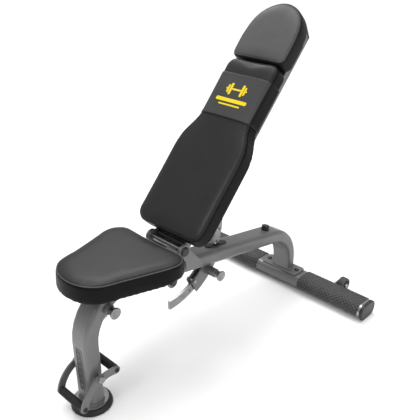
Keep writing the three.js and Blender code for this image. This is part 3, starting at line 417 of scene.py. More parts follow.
def carry_over(nodes, body, finish, width):
    """Rounded copies that stand for CAD nodes."""
    for node in nodes:
        piece = new_piece(f"{node}_part", refined(node, width), body, finish)
        weighted = piece.modifiers.new("weighted", "WEIGHTED_NORMAL")
        weighted.keep_sharp = True
        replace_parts(piece, node)


def turned(work, profile, centre, axis, facets):
    """A closed turned shape. The profile is (along, radius), from one end of the axis to the other."""
    turn = Vector((0, 0, 1)).rotation_difference(Vector(axis)).to_matrix()
    rings = []
    for along, radius in profile:
        if radius < 1e-7:
            rings.append([work.verts.new(Vector(centre) + turn @ Vector((0, 0, along)))])
            continue
        ring = []
        for i in range(facets):
            around = 2 * math.pi * i / facets
            corner = Vector((radius * math.cos(around), radius * math.sin(around), along))
            ring.append(work.verts.new(Vector(centre) + turn @ corner))
        rings.append(ring)
    for low, high in zip(rings, rings[1:]):
        for i in range(facets):
            j = (i + 1) % facets
            corners = [low[i % len(low)], low[j % len(low)], high[j % len(high)], high[i % len(high)]]
            corners = [c for n, c in enumerate(corners) if c not in corners[:n]]
            if len(corners) > 2:
                work.faces.new(corners)
    return rings


def swept(work, points, radius, closed=True, sides=8):
    """A round cord along points, closed on itself or capped."""
    count = len(points)
    rings = []
    normal = None
    for i, point in enumerate(points):
        before = points[(i - 1) % count] if closed or i else point
        after = points[(i + 1) % count] if closed or i < count - 1 else point
        ahead = (after - before).normalized()
        if normal is None:
            normal = ahead.orthogonal().normalized()
        normal = (normal - normal.dot(ahead) * ahead).normalized()
        across = ahead.cross(normal)
        rings.append([
            work.verts.new(point + radius * (
                math.cos(2 * math.pi * k / sides) * normal + math.sin(2 * math.pi * k / sides) * across))
            for k in range(sides)
        ])
    for low, high in zip(rings, rings[1:]):
        bridged(work, low, high)
    if closed:
        first, last = rings[0], rings[-1]
        bridged(work, last, first, min(range(sides), key=lambda s: (last[0].co - first[s].co).length))
    else:
        work.faces.new(rings[0][::-1])
        work.faces.new(rings[-1])


# ---------------------------------------------------------------- what repeats
def repeat_tree(name, along_curve, unit, finish):
    """Geometry nodes that set a small unit at points, or at even steps along a line.

    The points carry two directions, ahead and out, which turn each unit.
    """
    tree = bpy.data.node_groups.new(name, "GeometryNodeTree")
    face = tree.interface
    face.new_socket("Geometry", in_out="INPUT", socket_type="NodeSocketGeometry")
    for label in ("Length", "Width", "Height", "Pitch"):
        socket = face.new_socket(label, in_out="INPUT", socket_type="NodeSocketFloat")
        socket.default_value = 0.003
        socket.subtype = "DISTANCE"
    face.new_socket("Geometry", in_out="OUTPUT", socket_type="NodeSocketGeometry")

    def node(kind, settings=None, **links):
        made = tree.nodes.new(kind)
        for key, value in (settings or {}).items():
            setattr(made, key, value)
        for key, value in links.items():
            target = made.inputs[key.replace("_", " ")]
            if isinstance(value, bpy.types.NodeSocket):
                tree.links.new(value, target)
            else:
                target.default_value = value
        return made

    entry = node("NodeGroupInput")
    points = entry.outputs["Geometry"]
    vector = {"data_type": "FLOAT_VECTOR"}
    if along_curve:
        curve = node("GeometryNodeMeshToCurve", Mesh=points).outputs[0]
        steps = {"Curve": curve, "Length": entry.outputs["Pitch"]}
        points = node("GeometryNodeResampleCurve", {"mode": "LENGTH"}, **steps).outputs[0]
        ahead = node("GeometryNodeInputTangent").outputs[0]
    else:
        ahead = node("GeometryNodeInputNamedAttribute", vector, Name="ahead").outputs[0]
    out = node("GeometryNodeInputNamedAttribute", vector, Name="out").outputs[0]
    first = node("FunctionNodeAlignRotationToVector", {"axis": "Z"}, Vector=out)
    about = {"axis": "X", "pivot_axis": "Z"}
    turn = node("FunctionNodeAlignRotationToVector", about, Rotation=first.outputs[0], Vector=ahead)
    taper = {"Radius_Bottom": 0.5, "Depth": 1.0}
    if unit == "bead":
        shape = node("GeometryNodeMeshUVSphere", Segments=8, Rings=4, Radius=0.5).outputs[0]
    elif unit == "stud":
        shape = node("GeometryNodeMeshCone", Vertices=4, Radius_Top=0.32, **taper).outputs[0]
    else:
        disc = node("GeometryNodeMeshCone", Vertices=24, Radius_Top=0.36, **taper).outputs[0]
        socket = node("GeometryNodeMeshCylinder", Vertices=6, Radius=0.24, Depth=0.9).outputs[0]
        raised = node("GeometryNodeTransform", Geometry=socket, Translation=(0, 0, 0.62))
        cut = node("GeometryNodeMeshBoolean", {"operation": "DIFFERENCE"})
        tree.links.new(disc, cut.inputs[0])
        tree.links.new(raised.outputs[0], cut.inputs[1])
        shape = cut.outputs[0]
    extent = {axis: entry.outputs[label] for axis, label in zip("XYZ", ("Length", "Width", "Height"))}
    sizes = node("ShaderNodeCombineXYZ", **extent)
    scaled = node("GeometryNodeTransform", Geometry=shape, Scale=sizes.outputs[0])
    placed = node(
        "GeometryNodeInstanceOnPoints", Points=points, Instance=scaled.outputs[0], Rotation=turn.outputs[0]
    )
    real = node("GeometryNodeRealizeInstances", Geometry=placed.outputs[0])
    coloured = node("GeometryNodeSetMaterial", Geometry=real.outputs[0], Material=FINISHES[finish])
    leave = node("NodeGroupOutput")
    tree.links.new(coloured.outputs[0], leave.inputs[0])
    return tree


def repeated(name, places, body, finish, unit, sizes, lines=None, smooth=math.radians(40)):
    """Units at places, each (point, ahead, out). lines lists the runs of places joined into curves."""
    mesh = bpy.data.meshes.new(name)
    mesh.from_pydata([p for p, _, _ in places], lines or [], [])
    for label, column in (("ahead", 1), ("out", 2)):
        attribute = mesh.attributes.new(label, "FLOAT_VECTOR", "POINT")
        attribute.data.foreach_set("vector", [x for place in places for x in place[column]])
    holder = linked(name, mesh)
    tree = repeat_tree(f"{name}_nodes", bool(lines), unit, finish)
    modifier = holder.modifiers.new("repeat", "NODES")
    modifier.node_group = tree
    identifiers = {s.name: s.identifier for s in tree.interface.items_tree if s.in_out == "INPUT"}
    for label, size in zip(("Length", "Width", "Height", "Pitch"), sizes):
        modifier[identifiers[label]] = size
    result = evaluated(holder)
    bpy.data.objects.remove(holder)
    if not result.polygons:
        raise RuntimeError(f"{name}: the nodes made nothing")
    return new_piece(name, result, body, finish, smooth)


def ring_lines(count, start=0, closed=True):
    return [(start + i, start + (i + 1) % count) for i in range(count if closed else count - 1)]


def stitched(name, pad, rows, sizes, closed=True):
    """Stitches along rows of (point, way out) in the pad's own frame."""
    turn = pad.matrix.to_3x3()
    places, lines = [], []
    for row in rows:
        lines += ring_lines(len(row), len(places), closed)
        places += [(pad.matrix @ p, turn @ Vector((1, 0, 0)), turn @ n) for p, n in row]
    size = (sizes.stitch, sizes.thread, sizes.thread_rise, sizes.stitch_pitch)
    repeated(name, places, pad.body, "thread", "bead", size, lines, None)


# ---------------------------------------------------------------- cushions
def leaning(joint, lean):
    """The own frame of what leans about a joint: +Y along it and +Z out of its face."""
    return Matrix.Translation(JOINTS[joint]["pos_m"]) @ Matrix.Rotation(lean, 4, "X")


class Pad:
    """A pad's own frame: +Y runs along it and +Z points out of its face."""

    def __init__(self, node, board, joint, lean, body):
        self.body = body
        self.node = node
        self.board = board
        self.matrix = leaning(joint, lean)
        corners = corners_in(node, self.matrix)
        self.top = max(c.z for c in corners)
        self.foam_bottom = min(c.z for c in corners)
        self.bottom = min(c.z for c in corners_in(board, self.matrix))
        rim = {(round(c.x, 5), round(c.y, 5)) for c in corners if c.z < self.foam_bottom + 1e-4}
        middle = Vector((0, sum(y for _, y in rim) / len(rim)))
        loop = sorted(rim, key=lambda c: math.atan2(c[1] - middle.y, c[0]))
        self.outline = self.even([Vector(c) for c in loop], 0.004)

    @staticmethod
    def even(loop, step):
        """The loop with its corners cut twice, then set at even steps."""
        for _ in range(2):
            loop = [
                p for a, b in zip(loop, loop[1:] + loop[:1]) for p in (a.lerp(b, 0.25), a.lerp(b, 0.75))
            ]
        sides = [(b - a).length for a, b in zip(loop, loop[1:] + loop[:1])]
        total = sum(sides)
        count = int(total / step)
        points, travelled, i = [], 0.0, 0
        for k in range(count):
            target = total * k / count
            while travelled + sides[i] < target:
                travelled += sides[i]
                i += 1
            share = (target - travelled) / sides[i]
            points.append(loop[i].lerp(loop[(i + 1) % len(loop)], share))
        return points

    def outward(self, i, reach=3):
        count = len(self.outline)
        along = self.outline[(i + reach) % count] - self.outline[(i - reach) % count]
        return Vector((along.y, -along.x)).normalized()

    def ring(self, inset, z):
        reach = max(3, int(inset / 0.002))
        return [Vector((*(p - inset * self.outward(i, reach)), z)) for i, p in enumerate(self.outline)]

    def prism(self, work, levels):
        """Closed shape through rings of (inset, z), lowest first."""
        rings = [[work.verts.new(p) for p in self.ring(inset, z)] for inset, z in levels]
        for low, high in zip(rings, rings[1:]):
            bridged(work, low, high)
        work.faces.new(rings[0][::-1])
        work.faces.new(rings[-1])


def applied(piece):
    """Puts the piece's modifiers into its mesh."""
    mesh, old = evaluated(piece), piece.data
    piece.modifiers.clear()
    piece.data = mesh
    bpy.data.meshes.remove(old)
    return mesh


def coordinates(mesh):
    points = np.empty(len(mesh.vertices) * 3, np.float32)
    mesh.vertices.foreach_get("co", points)
    return points.reshape(-1, 3).astype(float)


def move_to(mesh, points):
    mesh.vertices.foreach_set("co", points.astype(np.float32).ravel())
    mesh.update()


CREASE_SHARE = 0.22  # how much of the cover's fine creasing stays
CALMING = 60  # passes of averaging
SETTLE_FRAMES = 20
HELD = 0.009  # height of the part of a cover that is held round its board
CROWN_REACH = 0.045  # how far in from the edge a face rounds down
RIM = (0.010, 0.020)  # where the height of a face's edge is taken, in from its outline
DROP_FROM = -0.060  # forward of this a cushion's hem may hang below its board
HEM = 0.024  # width of the cover folded under the board
SEAM = (1.0, 1.1, 0.004)  # aim of the search for the seam: inwards, downwards, and in from the outline
STITCH_ROWS = ((0.75, 1.35, 0.0095), (1.5, 0.55, -0.001))  # the same, above and below the seam
STAPLE_EVERY = 9  # outline points


def calmed(mesh, moved):
    """The movement averaged with its neighbours', so that only its broad swell is left."""
    edges = np.empty(len(mesh.edges) * 2, np.int32)
    mesh.edges.foreach_get("vertices", edges)
    first, second = edges.reshape(-1, 2).T
    count = np.bincount(np.concatenate((first, second)), minlength=len(moved))[:, None]
    for _ in range(CALMING):
        total = np.zeros_like(moved)
        np.add.at(total, first, moved[second])
        np.add.at(total, second, moved[first])
        moved = 0.5 * moved + 0.5 * total / np.maximum(count, 1)
    return moved


def settle(piece, pinned, cap):
    """Lets the cover swell over its foam, by no more than cap."""
    before = coordinates(piece.data)
    pins = piece.vertex_groups.new(name="held")
    pins.add([int(i) for i in np.nonzero(pinned(before))[0]], 1.0, "REPLACE")
    cloth = piece.modifiers.new("cover", "CLOTH")
    settings = cloth.settings
    settings.quality = 5
    settings.mass = 0.3
    settings.tension_stiffness = settings.compression_stiffness = 30
    settings.shear_stiffness = 15
    settings.bending_stiffness = 1.5
    settings.use_pressure = True
    settings.uniform_pressure_force = 4
    settings.effector_weights.gravity = 0
    settings.vertex_group_mass = pins.name
    cloth.collision_settings.use_collision = False
    cloth.collision_settings.use_self_collision = False
    scene = bpy.context.scene
    for step in range(1, SETTLE_FRAMES + 1):
        scene.frame_set(step)
    after = coordinates(applied(piece))
    scene.frame_set(1)
    moved = after - before
    calm = calmed(piece.data, moved)
    moved = calm + (moved - calm) * CREASE_SHARE
    distance = np.linalg.norm(moved, axis=1, keepdims=True)
    limit = cap * np.tanh(distance / cap) / np.maximum(distance, 1e-9)
    move_to(piece.data, before + moved * limit)
    piece.vertex_groups.clear()


def cover_tree(piece):
    return BVHTree.FromObject(piece, bpy.context.evaluated_depsgraph_get())


def edge_path(pad, tree, back, rise, shift):
    """Points on a cushion's rounded top edge, with the way out of its surface."""
    found = []
    for i, point in enumerate(pad.outline):
        outward = pad.outward(i, 5)
        inward = Vector((-outward.x * back, -outward.y * back, -rise)).normalized()
        base = point - shift * outward
        start = Vector((base.x, base.y, pad.top - 0.006)) - 0.06 * inward
        hit, normal, _, _ = tree.ray_cast(start, inward)
        if hit is None:
            raise RuntimeError(f"{pad.node}: no cover found under its seam")
        found.append((hit, normal))
    return smoothed(found)


def smoothed(path, passes=3):
    for _ in range(passes):
        rounds = zip(path[-1:] + path[:-1], path, path[1:] + path[:1])
        path = [((a[0] + 2 * b[0] + c[0]) / 4, (a[1] + 2 * b[1] + c[1]).normalized()) for a, b, c in rounds]
    return path


def fitted(piece, pad, crown, spare, rear, drop):
    """Rounds the face down towards its edges and brings the sides out past the pad's outline.

    spare is how far past it they come, rear what more the rear has, and drop how low the front hem hangs.
    """
    points = coordinates(piece.data)
    outline = np.array([tuple(p) for p in pad.outline])
    outward = np.array([tuple(pad.outward(i, 5)) for i in range(len(outline))])
    gaps = np.sqrt(((points[:, None, :2] - outline[None]) ** 2).sum(axis=2))
    nearest = gaps.argmin(axis=1)
    gap = gaps.min(axis=1)
    share = np.clip((points[:, 2] - pad.bottom) / (pad.top - pad.bottom), 0, 1)
    points[:, 2] -= crown * (1 - np.clip(gap / CROWN_REACH, 0, 1)) ** 2 * share
    beyond = ((points[:, :2] - outline[nearest]) * outward[nearest]).sum(axis=1)
    reached = np.full(len(outline), -0.004)
    np.maximum.at(reached, nearest, beyond)
    for _ in range(6):
        reached = (np.roll(reached, 1) + 2 * reached + np.roll(reached, -1)) / 4
    wanted = spare + rear * np.clip(outward[:, 1], 0, 1) ** 4
    weight = 1 - np.clip(-beyond / CROWN_REACH, 0, 1)
    points[:, :2] += outward[nearest] * ((wanted - reached)[nearest] * weight)[:, None]
    rim = (gap > RIM[0]) & (gap < RIM[1]) & (share > 0.7)
    low, high = points[:, 2].min(), points[rim, 2].mean()
    points[:, 2] = pad.bottom + (points[:, 2] - low) / (high - low) * (pad.top + 0.001 - pad.bottom)
    points[:, 2] -= drop * np.clip((DROP_FROM - points[:, 1]) / 0.04, 0, 1) * (1 - share)
    move_to(piece.data, points)


def make_cushion(name, pad, sizes, edge_round, spare, rear, drop):
    """Foam under a sewn vinyl cover: swollen, fitted to its pad and pinched at its top seam."""
    middle = pad.bottom + 0.5 * (pad.top - pad.bottom)
    levels = [(0.0020, pad.bottom), (0.0, pad.bottom + 0.003), (-0.0008, middle)]
    for k in range(6):
        turn = math.radians(18 * k)
        levels.append((edge_round * (1 - math.cos(turn)), pad.top - edge_round * (1 - math.sin(turn))))
    piece = linked(name, mesh_of(lambda work: pad.prism(work, levels)))
    remesh = piece.modifiers.new("cover", "REMESH")
    remesh.mode = "VOXEL"
    remesh.voxel_size = sizes.voxel
    applied(piece)
    settle(piece, lambda p: p[:, 2] < pad.bottom + HELD, sizes.swell)
    subdivision = piece.modifiers.new("finer", "SUBSURF")
    subdivision.levels = subdivision.render_levels = 1
    applied(piece)
    fitted(piece, pad, sizes.crown, spare, rear, drop)
    pinch(piece, [p for p, _ in edge_path(pad, cover_tree(piece), *SEAM)], 0.0016, 0.0042)
    return piece


def pinch(piece, line, depth, reach):
    """Draws the cover in along a seam."""
    mesh = piece.data
    points = coordinates(mesh)
    normals = np.empty(len(mesh.vertices) * 3, np.float32)
    mesh.vertices.foreach_get("normal", normals)
    normals = normals.reshape(-1, 3)
    line = np.array(line)
    near = np.full(len(points), 1e9)
    for start in range(0, len(line), 16):
        gap = points[:, None, :] - line[None, start:start + 16, :]
        near = np.minimum(near, np.sqrt((gap ** 2).sum(axis=2)).min(axis=1))
    move_to(mesh, points - normals * (depth * np.exp(-((near / reach) ** 2)))[:, None])


def hollow(piece, pad, inset):
    """Cuts the recess that the board sits in."""
    levels = [(inset, pad.bottom - 0.01), (inset, pad.foam_bottom)]
    cutter = linked("recess", mesh_of(lambda work: pad.prism(work, levels)))
    boolean = piece.modifiers.new("recess", "BOOLEAN")
    boolean.operation = "DIFFERENCE"
    boolean.solver = "EXACT"
    boolean.object = cutter
    applied(piece)
    bpy.data.objects.remove(cutter)


def upholster(name, pad, sizes, finish, cord_finish, edge_round, spare, rear=0.0, drop=0.0):
    """The cushion, its piping, its stitches and its board."""
    piece = make_cushion(name, pad, sizes, edge_round, spare, rear, drop)
    cover = cover_tree(piece)
    seam = edge_path(pad, cover, *SEAM)
    hollow(piece, pad, HEM)
    mesh = piece.data
    bpy.data.objects.remove(piece)
    heights = coordinates(mesh)[:, 2]
    seam_height = sum(p.z for p, _ in seam) / len(seam)
    # side is 1 on the band below the seam; the vinyl darkens that band as painted shade on the cushion's
    # sides.
    side = mesh.attributes.new("side", "FLOAT", "POINT")
    below = np.clip((seam_height - heights) / 0.002 + 0.5, 0, 1)
    side.data.foreach_set("value", below.astype(np.float32))
    mesh.transform(pad.matrix)
    cushion = new_piece(name, mesh, pad.body, finish, math.radians(50))
    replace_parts(cushion, pad.node)

    line = [p + n * sizes.piping * 0.35 for p, n in seam]
    cord = mesh_of(lambda work: swept(work, line, sizes.piping), pad.matrix)
    new_piece(f"{name}_piping", cord, pad.body, cord_finish, None)
    rows = [[(p + n * 0.0001, n) for p, n in edge_path(pad, cover, *row)] for row in STITCH_ROWS]
    stitched(f"{name}_stitches", pad, rows, sizes)

    levels = [
        (HEM + 0.0014, pad.bottom), (HEM + 0.0004, pad.bottom + 0.001),
        (HEM + 0.0004, pad.foam_bottom - 0.0013), (HEM + 0.0014, pad.foam_bottom - 0.0005),
    ]
    board = mesh_of(lambda work: pad.prism(work, levels), pad.matrix)
    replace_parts(new_piece(f"{pad.board}_part", board, pad.body, "board"), pad.board)

    turn = pad.matrix.to_3x3()
    staples = []
    for i in range(0, len(pad.outline), STAPLE_EVERY):
        p = pad.outline[i] - (HEM - 0.007) * pad.outward(i, 12)
        hit, _, _, _ = cover.ray_cast(Vector((p.x, p.y, pad.bottom - 0.03)), Vector((0, 0, 1)))
        staples.append((pad.matrix @ hit, turn @ Vector((1, 0.4, 0)), turn @ Vector((0, 0, -1))))
    repeated(f"{name}_staples", staples, pad.body, "trim", "bead", (0.010, 0.0012, 0.0010, 1.0))
    return cover


def make_pad(part, pads):
    """The back, head or seat pad's frame."""
    if part == "seat":
        return Pad("seat_cushion", "seat_board", "seat_tilt", pads.seat_lean, "seat")
    return Pad(f"{part}_cushion", f"{part}_board", "back_tilt", pads.back_lean, "back_rest")


def pad_screws(name, matrix, points, body, radius):
    """Screws up into a pad's board, seen from below."""
    turn = matrix.to_3x3()
    ahead, out = turn @ Vector((1, 0, 0)), turn @ Vector((0, 0, -1))
    places = [(matrix @ Vector((x, y, z - 0.0019)), ahead, out) for x, y, z in points]
    repeated(name, places, body, "steel", "screw", (2 * radius, 2 * radius, 0.004, 1.0))


def make_sleeve(pad, cover_mesh, sizes):
    """The printed band, wrapped tight round the upper part of the back cushion."""
    work = bmesh.new()
    work.from_mesh(cover_mesh)
    work.transform(pad.matrix.inverted())
    for level, side in ((sizes.sleeve_low, -1), (sizes.sleeve_high, 1)):
        geometry = work.verts[:] + work.edges[:] + work.faces[:]
        bmesh.ops.bisect_plane(
            work, geom=geometry, plane_co=(0, level, 0), plane_no=(0, side, 0), clear_outer=True
        )
    low = pad.bottom + 0.0035
    geometry = work.verts[:] + work.edges[:] + work.faces[:]
    bmesh.ops.bisect_plane(work, geom=geometry, plane_co=(0, 0, low), plane_no=(0, 0, -1), clear_outer=True)
    hidden = []
    for face in work.faces:
        middle = face.calc_center_median()
        in_recess = middle.z < pad.foam_bottom + 0.001 and face.normal.x * middle.x < 0
        if in_recess or face.normal.z < -0.5:
            hidden.append(face)
    bmesh.ops.delete(work, geom=hidden, context="FACES")
    work.normal_update()
    for vertex in work.verts:
        vertex.co += vertex.normal * 0.0005
    mesh = bpy.data.meshes.new("sleeve")
    work.to_mesh(mesh)
    work.free()
    mesh.transform(pad.matrix)
    return mesh


# ---------------------------------------------------------------- operators
def settings_of(context):
    scene = context.scene
    return scene.bench_pads, scene.bench_detail, scene.bench_colours


class BENCH_OT_finishes(bpy.types.Operator):
    """Make the finishes that the other steps use"""

    bl_idname = "bench.finishes"
    bl_label = "Finishes"

    def execute(self, context):
        make_finishes(context.scene.bench_colours)
        return {"FINISHED"}


class BENCH_OT_seat_cushion(bpy.types.Operator):
    """Upholster the seat"""

    bl_idname = "bench.seat_cushion"
    bl_label = "Seat cushion"

    def execute(self, context):
        pads, _, _ = settings_of(context)
        pad = make_pad("seat", pads)
        shape = {"edge_round": 0.005, "spare": 0.002, "rear": 0.006, "drop": 0.0065}
        upholster("seat_pad", pad, pads, "vinyl", "head", **shape)
        return {"FINISHED"}


class BENCH_OT_head_cushion(bpy.types.Operator):
    """Upholster the head rest"""

    bl_idname = "bench.head_cushion"
    bl_label = "Head cushion"

    def execute(self, context):
        pads, _, _ = settings_of(context)
        pad = make_pad("head", pads)
        upholster("head_pad", pad, pads, "head", "head", edge_round=0.007, spare=0.004, rear=0.003)
        return {"FINISHED"}


class BENCH_OT_back_cushion(bpy.types.Operator):
    """Upholster the back rest, with its printed sleeve"""

    bl_idname = "bench.back_cushion"
    bl_label = "Back cushion"

    def execute(self, context):
        pads, _, _ = settings_of(context)
        pad = make_pad("back", pads)
        cover = upholster("back_pad", pad, pads, "vinyl", "vinyl", edge_round=0.008, spare=0.003)
        mesh = make_sleeve(pad, bpy.data.objects["back_pad"].data, pads)
        sleeve = new_piece("back_sleeve", mesh, pad.body, "sleeve", math.radians(60))
        solidify = sleeve.modifiers.new("thickness", "SOLIDIFY")
        solidify.thickness = pads.sleeve_thick
        solidify.offset = 1
        solidify.use_even_offset = False
        self.edges(pad, cover, pads)
        self.motif(pad, cover, pads)
        return {"FINISHED"}

    def across(self, pad, cover, level, proud):
        """Points over the cushion from side to side at one height up the pad."""
        found = []
        middle = Vector((0, level, pad.top - 0.030))
        for k in range(61):
            turn = math.radians(-12 + 204 * k / 60)
            aim = Vector((-math.cos(turn), 0, -math.sin(turn)))
            hit, normal, _, _ = cover.ray_cast(middle - aim * 0.20, aim)
            if hit is not None and hit.z > pad.bottom + 0.004:
                found.append((hit + normal * proud, normal))
        return found

    def edges(self, pad, cover, sizes):
        """The sleeve's bound edges and the stitches beside them."""
        thick = sizes.sleeve_thick
        sides = ((sizes.sleeve_low, 1), (sizes.sleeve_high, -1))

        def bindings(work):
            for level, _ in sides:
                points = [pad.matrix @ p for p, _ in self.across(pad, cover, level, thick / 2)]
                swept(work, points, thick / 2 + 0.0007, closed=False)

        new_piece("back_sleeve_binding", mesh_of(bindings), pad.body, "vinyl", None)
        rows = [self.across(pad, cover, level + inside * 0.006, thick + 0.0006) for level, inside in sides]
        stitched("back_sleeve_stitches", pad, rows, sizes, closed=False)

    def motif(self, pad, cover, sizes):
        """A plain dumbbell over two stripes, printed on the sleeve."""
        middle = (sizes.sleeve_low + sizes.sleeve_high) / 2
        shapes = [(-0.018, 0.018, 0.017, 0.023)]
        for side in (-1, 1):
            shapes += [
                tuple(sorted((side * 0.018, side * 0.027))) + (0.000, 0.040),
                tuple(sorted((side * 0.029, side * 0.036))) + (0.006, 0.034),
                tuple(sorted((side * 0.036, side * 0.041))) + (0.017, 0.023),
            ]
        shapes += [(-0.060, 0.060, -0.024, -0.012), (-0.042, 0.042, -0.036, -0.031)]

        def patches(work):
            for x0, x1, y0, y1 in shapes:
                self.patch(work, pad, cover, sizes.sleeve_thick, x0, x1, middle + y0, middle + y1)

        new_piece("back_sleeve_motif", mesh_of(patches, pad.matrix), pad.body, "print", math.radians(50))

    def patch(self, work, pad, cover, thick, x0, x1, y0, y1):
        """A thin rounded rectangle laid on the sleeve."""
        columns, rows = (max(2, int(side / 0.003)) for side in (x1 - x0, y1 - y0))
        round_off = min(x1 - x0, y1 - y0) * 0.22
        layers = []
        for proud in (thick + 0.0003, thick + 0.0010):
            grid = []
            for j in range(rows + 1):
                line = []
                for i in range(columns + 1):
                    x, y = x0 + (x1 - x0) * i / columns, y0 + (y1 - y0) * j / rows
                    if i in (0, columns) and j in (0, rows):
                        x += round_off * (0.5 if i == 0 else -0.5)
                        y += round_off * (0.5 if j == 0 else -0.5)
                    hit, normal, _, _ = cover.ray_cast(Vector((x, y, pad.top + 0.1)), Vector((0, 0, -1)))
                    line.append(work.verts.new(hit + normal * proud))
                grid.append(line)
            layers.append(grid)
        rims = []
        for grid in layers:
            for low, high in zip(grid, grid[1:]):
                for i in range(columns):
                    work.faces.new((low[i], low[i + 1], high[i + 1], high[i]))
            right, left = [row[-1] for row in grid[:-1]], [row[0] for row in grid[:0:-1]]
            rims.append(grid[0][:-1] + right + grid[-1][:0:-1] + left)
        bridged(work, *rims)


TUBE_CORNER = 0.016


def rounded_rectangle(half_x, half_y, radius, steps=6):
    points = []
    for quarter, (sx, sy) in enumerate(((1, 1), (-1, 1), (-1, -1), (1, -1))):
        for k in range(steps + 1):
            turn = math.pi / 2 * (quarter + k / steps)
            x = sx * (half_x - radius) + radius * math.cos(turn)
            points.append((x, sy * (half_y - radius) + radius * math.sin(turn)))
    return points


def weld_ring(name, half_x, half_y, centre_y, z, bead):
    """A bead of weld round the foot of the main tube."""
    places = []
    for x, y in rounded_rectangle(half_x, half_y, TUBE_CORNER):
        out = Vector((x / half_x, y / half_y, 1.2)).normalized()
        places.append((Vector((x, centre_y + y, z)), Vector((1, 0, 0)), out))
    size = (bead * 1.5, bead * 2.2, bead * 1.6, bead * 0.62)
    repeated(name, places, "frame", "paint", "bead", size, ring_lines(len(places)))


class BENCH_OT_main_frame(bpy.types.Operator):
    """Finish the main tube, its hinge bracket and its welds"""

    bl_idname = "bench.main_frame"
    bl_label = "Main frame"

    def execute(self, context):
        _, detail, _ = settings_of(context)
        carry_over(["main_tube"], "frame", "paint", 0)
        carry_over(["hinge_bracket", "base_plate"], "frame", "paint", detail.edge)
        carry_over(["guide_plate_right", "guide_plate_left"], "frame", "paint", detail.edge)
        carry_over(["guide_bolt"], "frame", "steel", 0.0006)
        carry_over(["slot_bezel", "beam_bumper"], "frame", "rubber", detail.edge)
        carry_over(["back_axle_cap_right", "back_axle_cap_left"], "frame", "plastic", detail.edge)
        carry_over(["seat_axle_cap_right", "seat_axle_cap_left"], "frame", "plastic", detail.edge)
        carry_over(["back_axle", "seat_axle"], "frame", "steel", 0.0004)
        tube_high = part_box("main_tube")[1]
        plate_low, plate_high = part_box("base_plate")
        middle = (plate_low.y + plate_high.y) / 2
        half_x, half_y = tube_high.x, tube_high.y - middle
        weld_ring("post_weld", half_x, half_y, middle, plate_high.z, detail.bead)
        weld_ring("leg_weld", half_x, half_y, 0.0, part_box("foot_plate")[1].z, detail.bead)
        return {"FINISHED"}


GRIP_RIBS = 34


class BENCH_OT_foot(bpy.types.Operator):
    """Finish the front foot, the handle frame and the badge on the leg"""

    bl_idname = "bench.foot"
    bl_label = "Foot and handle"

    def execute(self, context):
        _, detail, _ = settings_of(context)
        carry_over(["foot_rubber"], "frame", "rubber", detail.edge)
        carry_over(["foot_plate"], "frame", "paint", detail.edge)
        carry_over(["handle_plate_right", "handle_plate_left"], "frame", "paint", detail.edge)
        carry_over(["handle_bolt"], "frame", "steel", 0.0005)
        for name in ("handle_grip_lower", "handle_grip_upper"):
            low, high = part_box(name)
            centre = (low + high) / 2
            half, radius = high.x, (high.z - low.z) / 2
            profile = [(-half, 0), (-half, radius - 0.001), (-half + 0.001, radius)]
            step = (2 * half - 0.012) / GRIP_RIBS
            for k in range(GRIP_RIBS):
                along = -half + 0.006 + step * k
                profile += [
                    (along, radius), (along + 0.12 * step, radius - 0.0008),
                    (along + 0.38 * step, radius - 0.0008), (along + 0.5 * step, radius),
                ]
            profile += [(half - 0.001, radius), (half, radius - 0.001), (half, 0)]
            mesh = mesh_of(lambda work: turned(work, profile, (0, centre.y, centre.z), (1, 0, 0), 40))
            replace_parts(new_piece(f"{name}_part", mesh, "frame", "rubber"), name)
            ends = []
            for side in (-1, 1):
                place = Vector((side * (half + 0.0062), centre.y, centre.z))
                ends.append((place, Vector((0, 1, 0)), Vector((side, 0, 0))))
            repeated(f"{name}_screws", ends, "frame", "black", "screw", (0.015, 0.015, 0.004, 1.0))
        self.badge()
        return {"FINISHED"}

    def badge(self):
        """A dark strip in a bright frame, with a plain row of chevrons."""
        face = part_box("main_tube")[0].y
        low, high, half = 0.064, 0.214, 0.0135
        edge, gap = 0.0010, 0.0014
        marks, margin = 6, 0.020
        reach, rise, thick = 0.0050, 0.004, 0.0014

        def trim(work):
            for outline in (
                bars(-half, -half + edge, low, high),
                bars(half - edge, half, low, high),
                bars(-half + edge, half - edge, low, low + edge),
                bars(-half + edge, half - edge, high - edge, high),
            ):
                plate(work, outline, face - 0.0014, face - 0.0002)
            for k in range(marks):
                z = low + margin + k * (high - low - 2 * margin) / (marks - 1)
                for end in (-reach, reach):
                    slope = [(0, z + rise), (end, z), (end, z - thick), (0, z + rise - thick)]
                    plate(work, slope, face - 0.0012, face - 0.0008)

        strip = bars(-half + gap, half - gap, low + gap, high - gap)
        strip_mesh = mesh_of(lambda work: plate(work, strip, face - 0.0007, face - 0.0001))
        new_piece("leg_badge", strip_mesh, "frame", "plastic")
        new_piece("leg_badge_trim", mesh_of(trim), "frame", "trim")


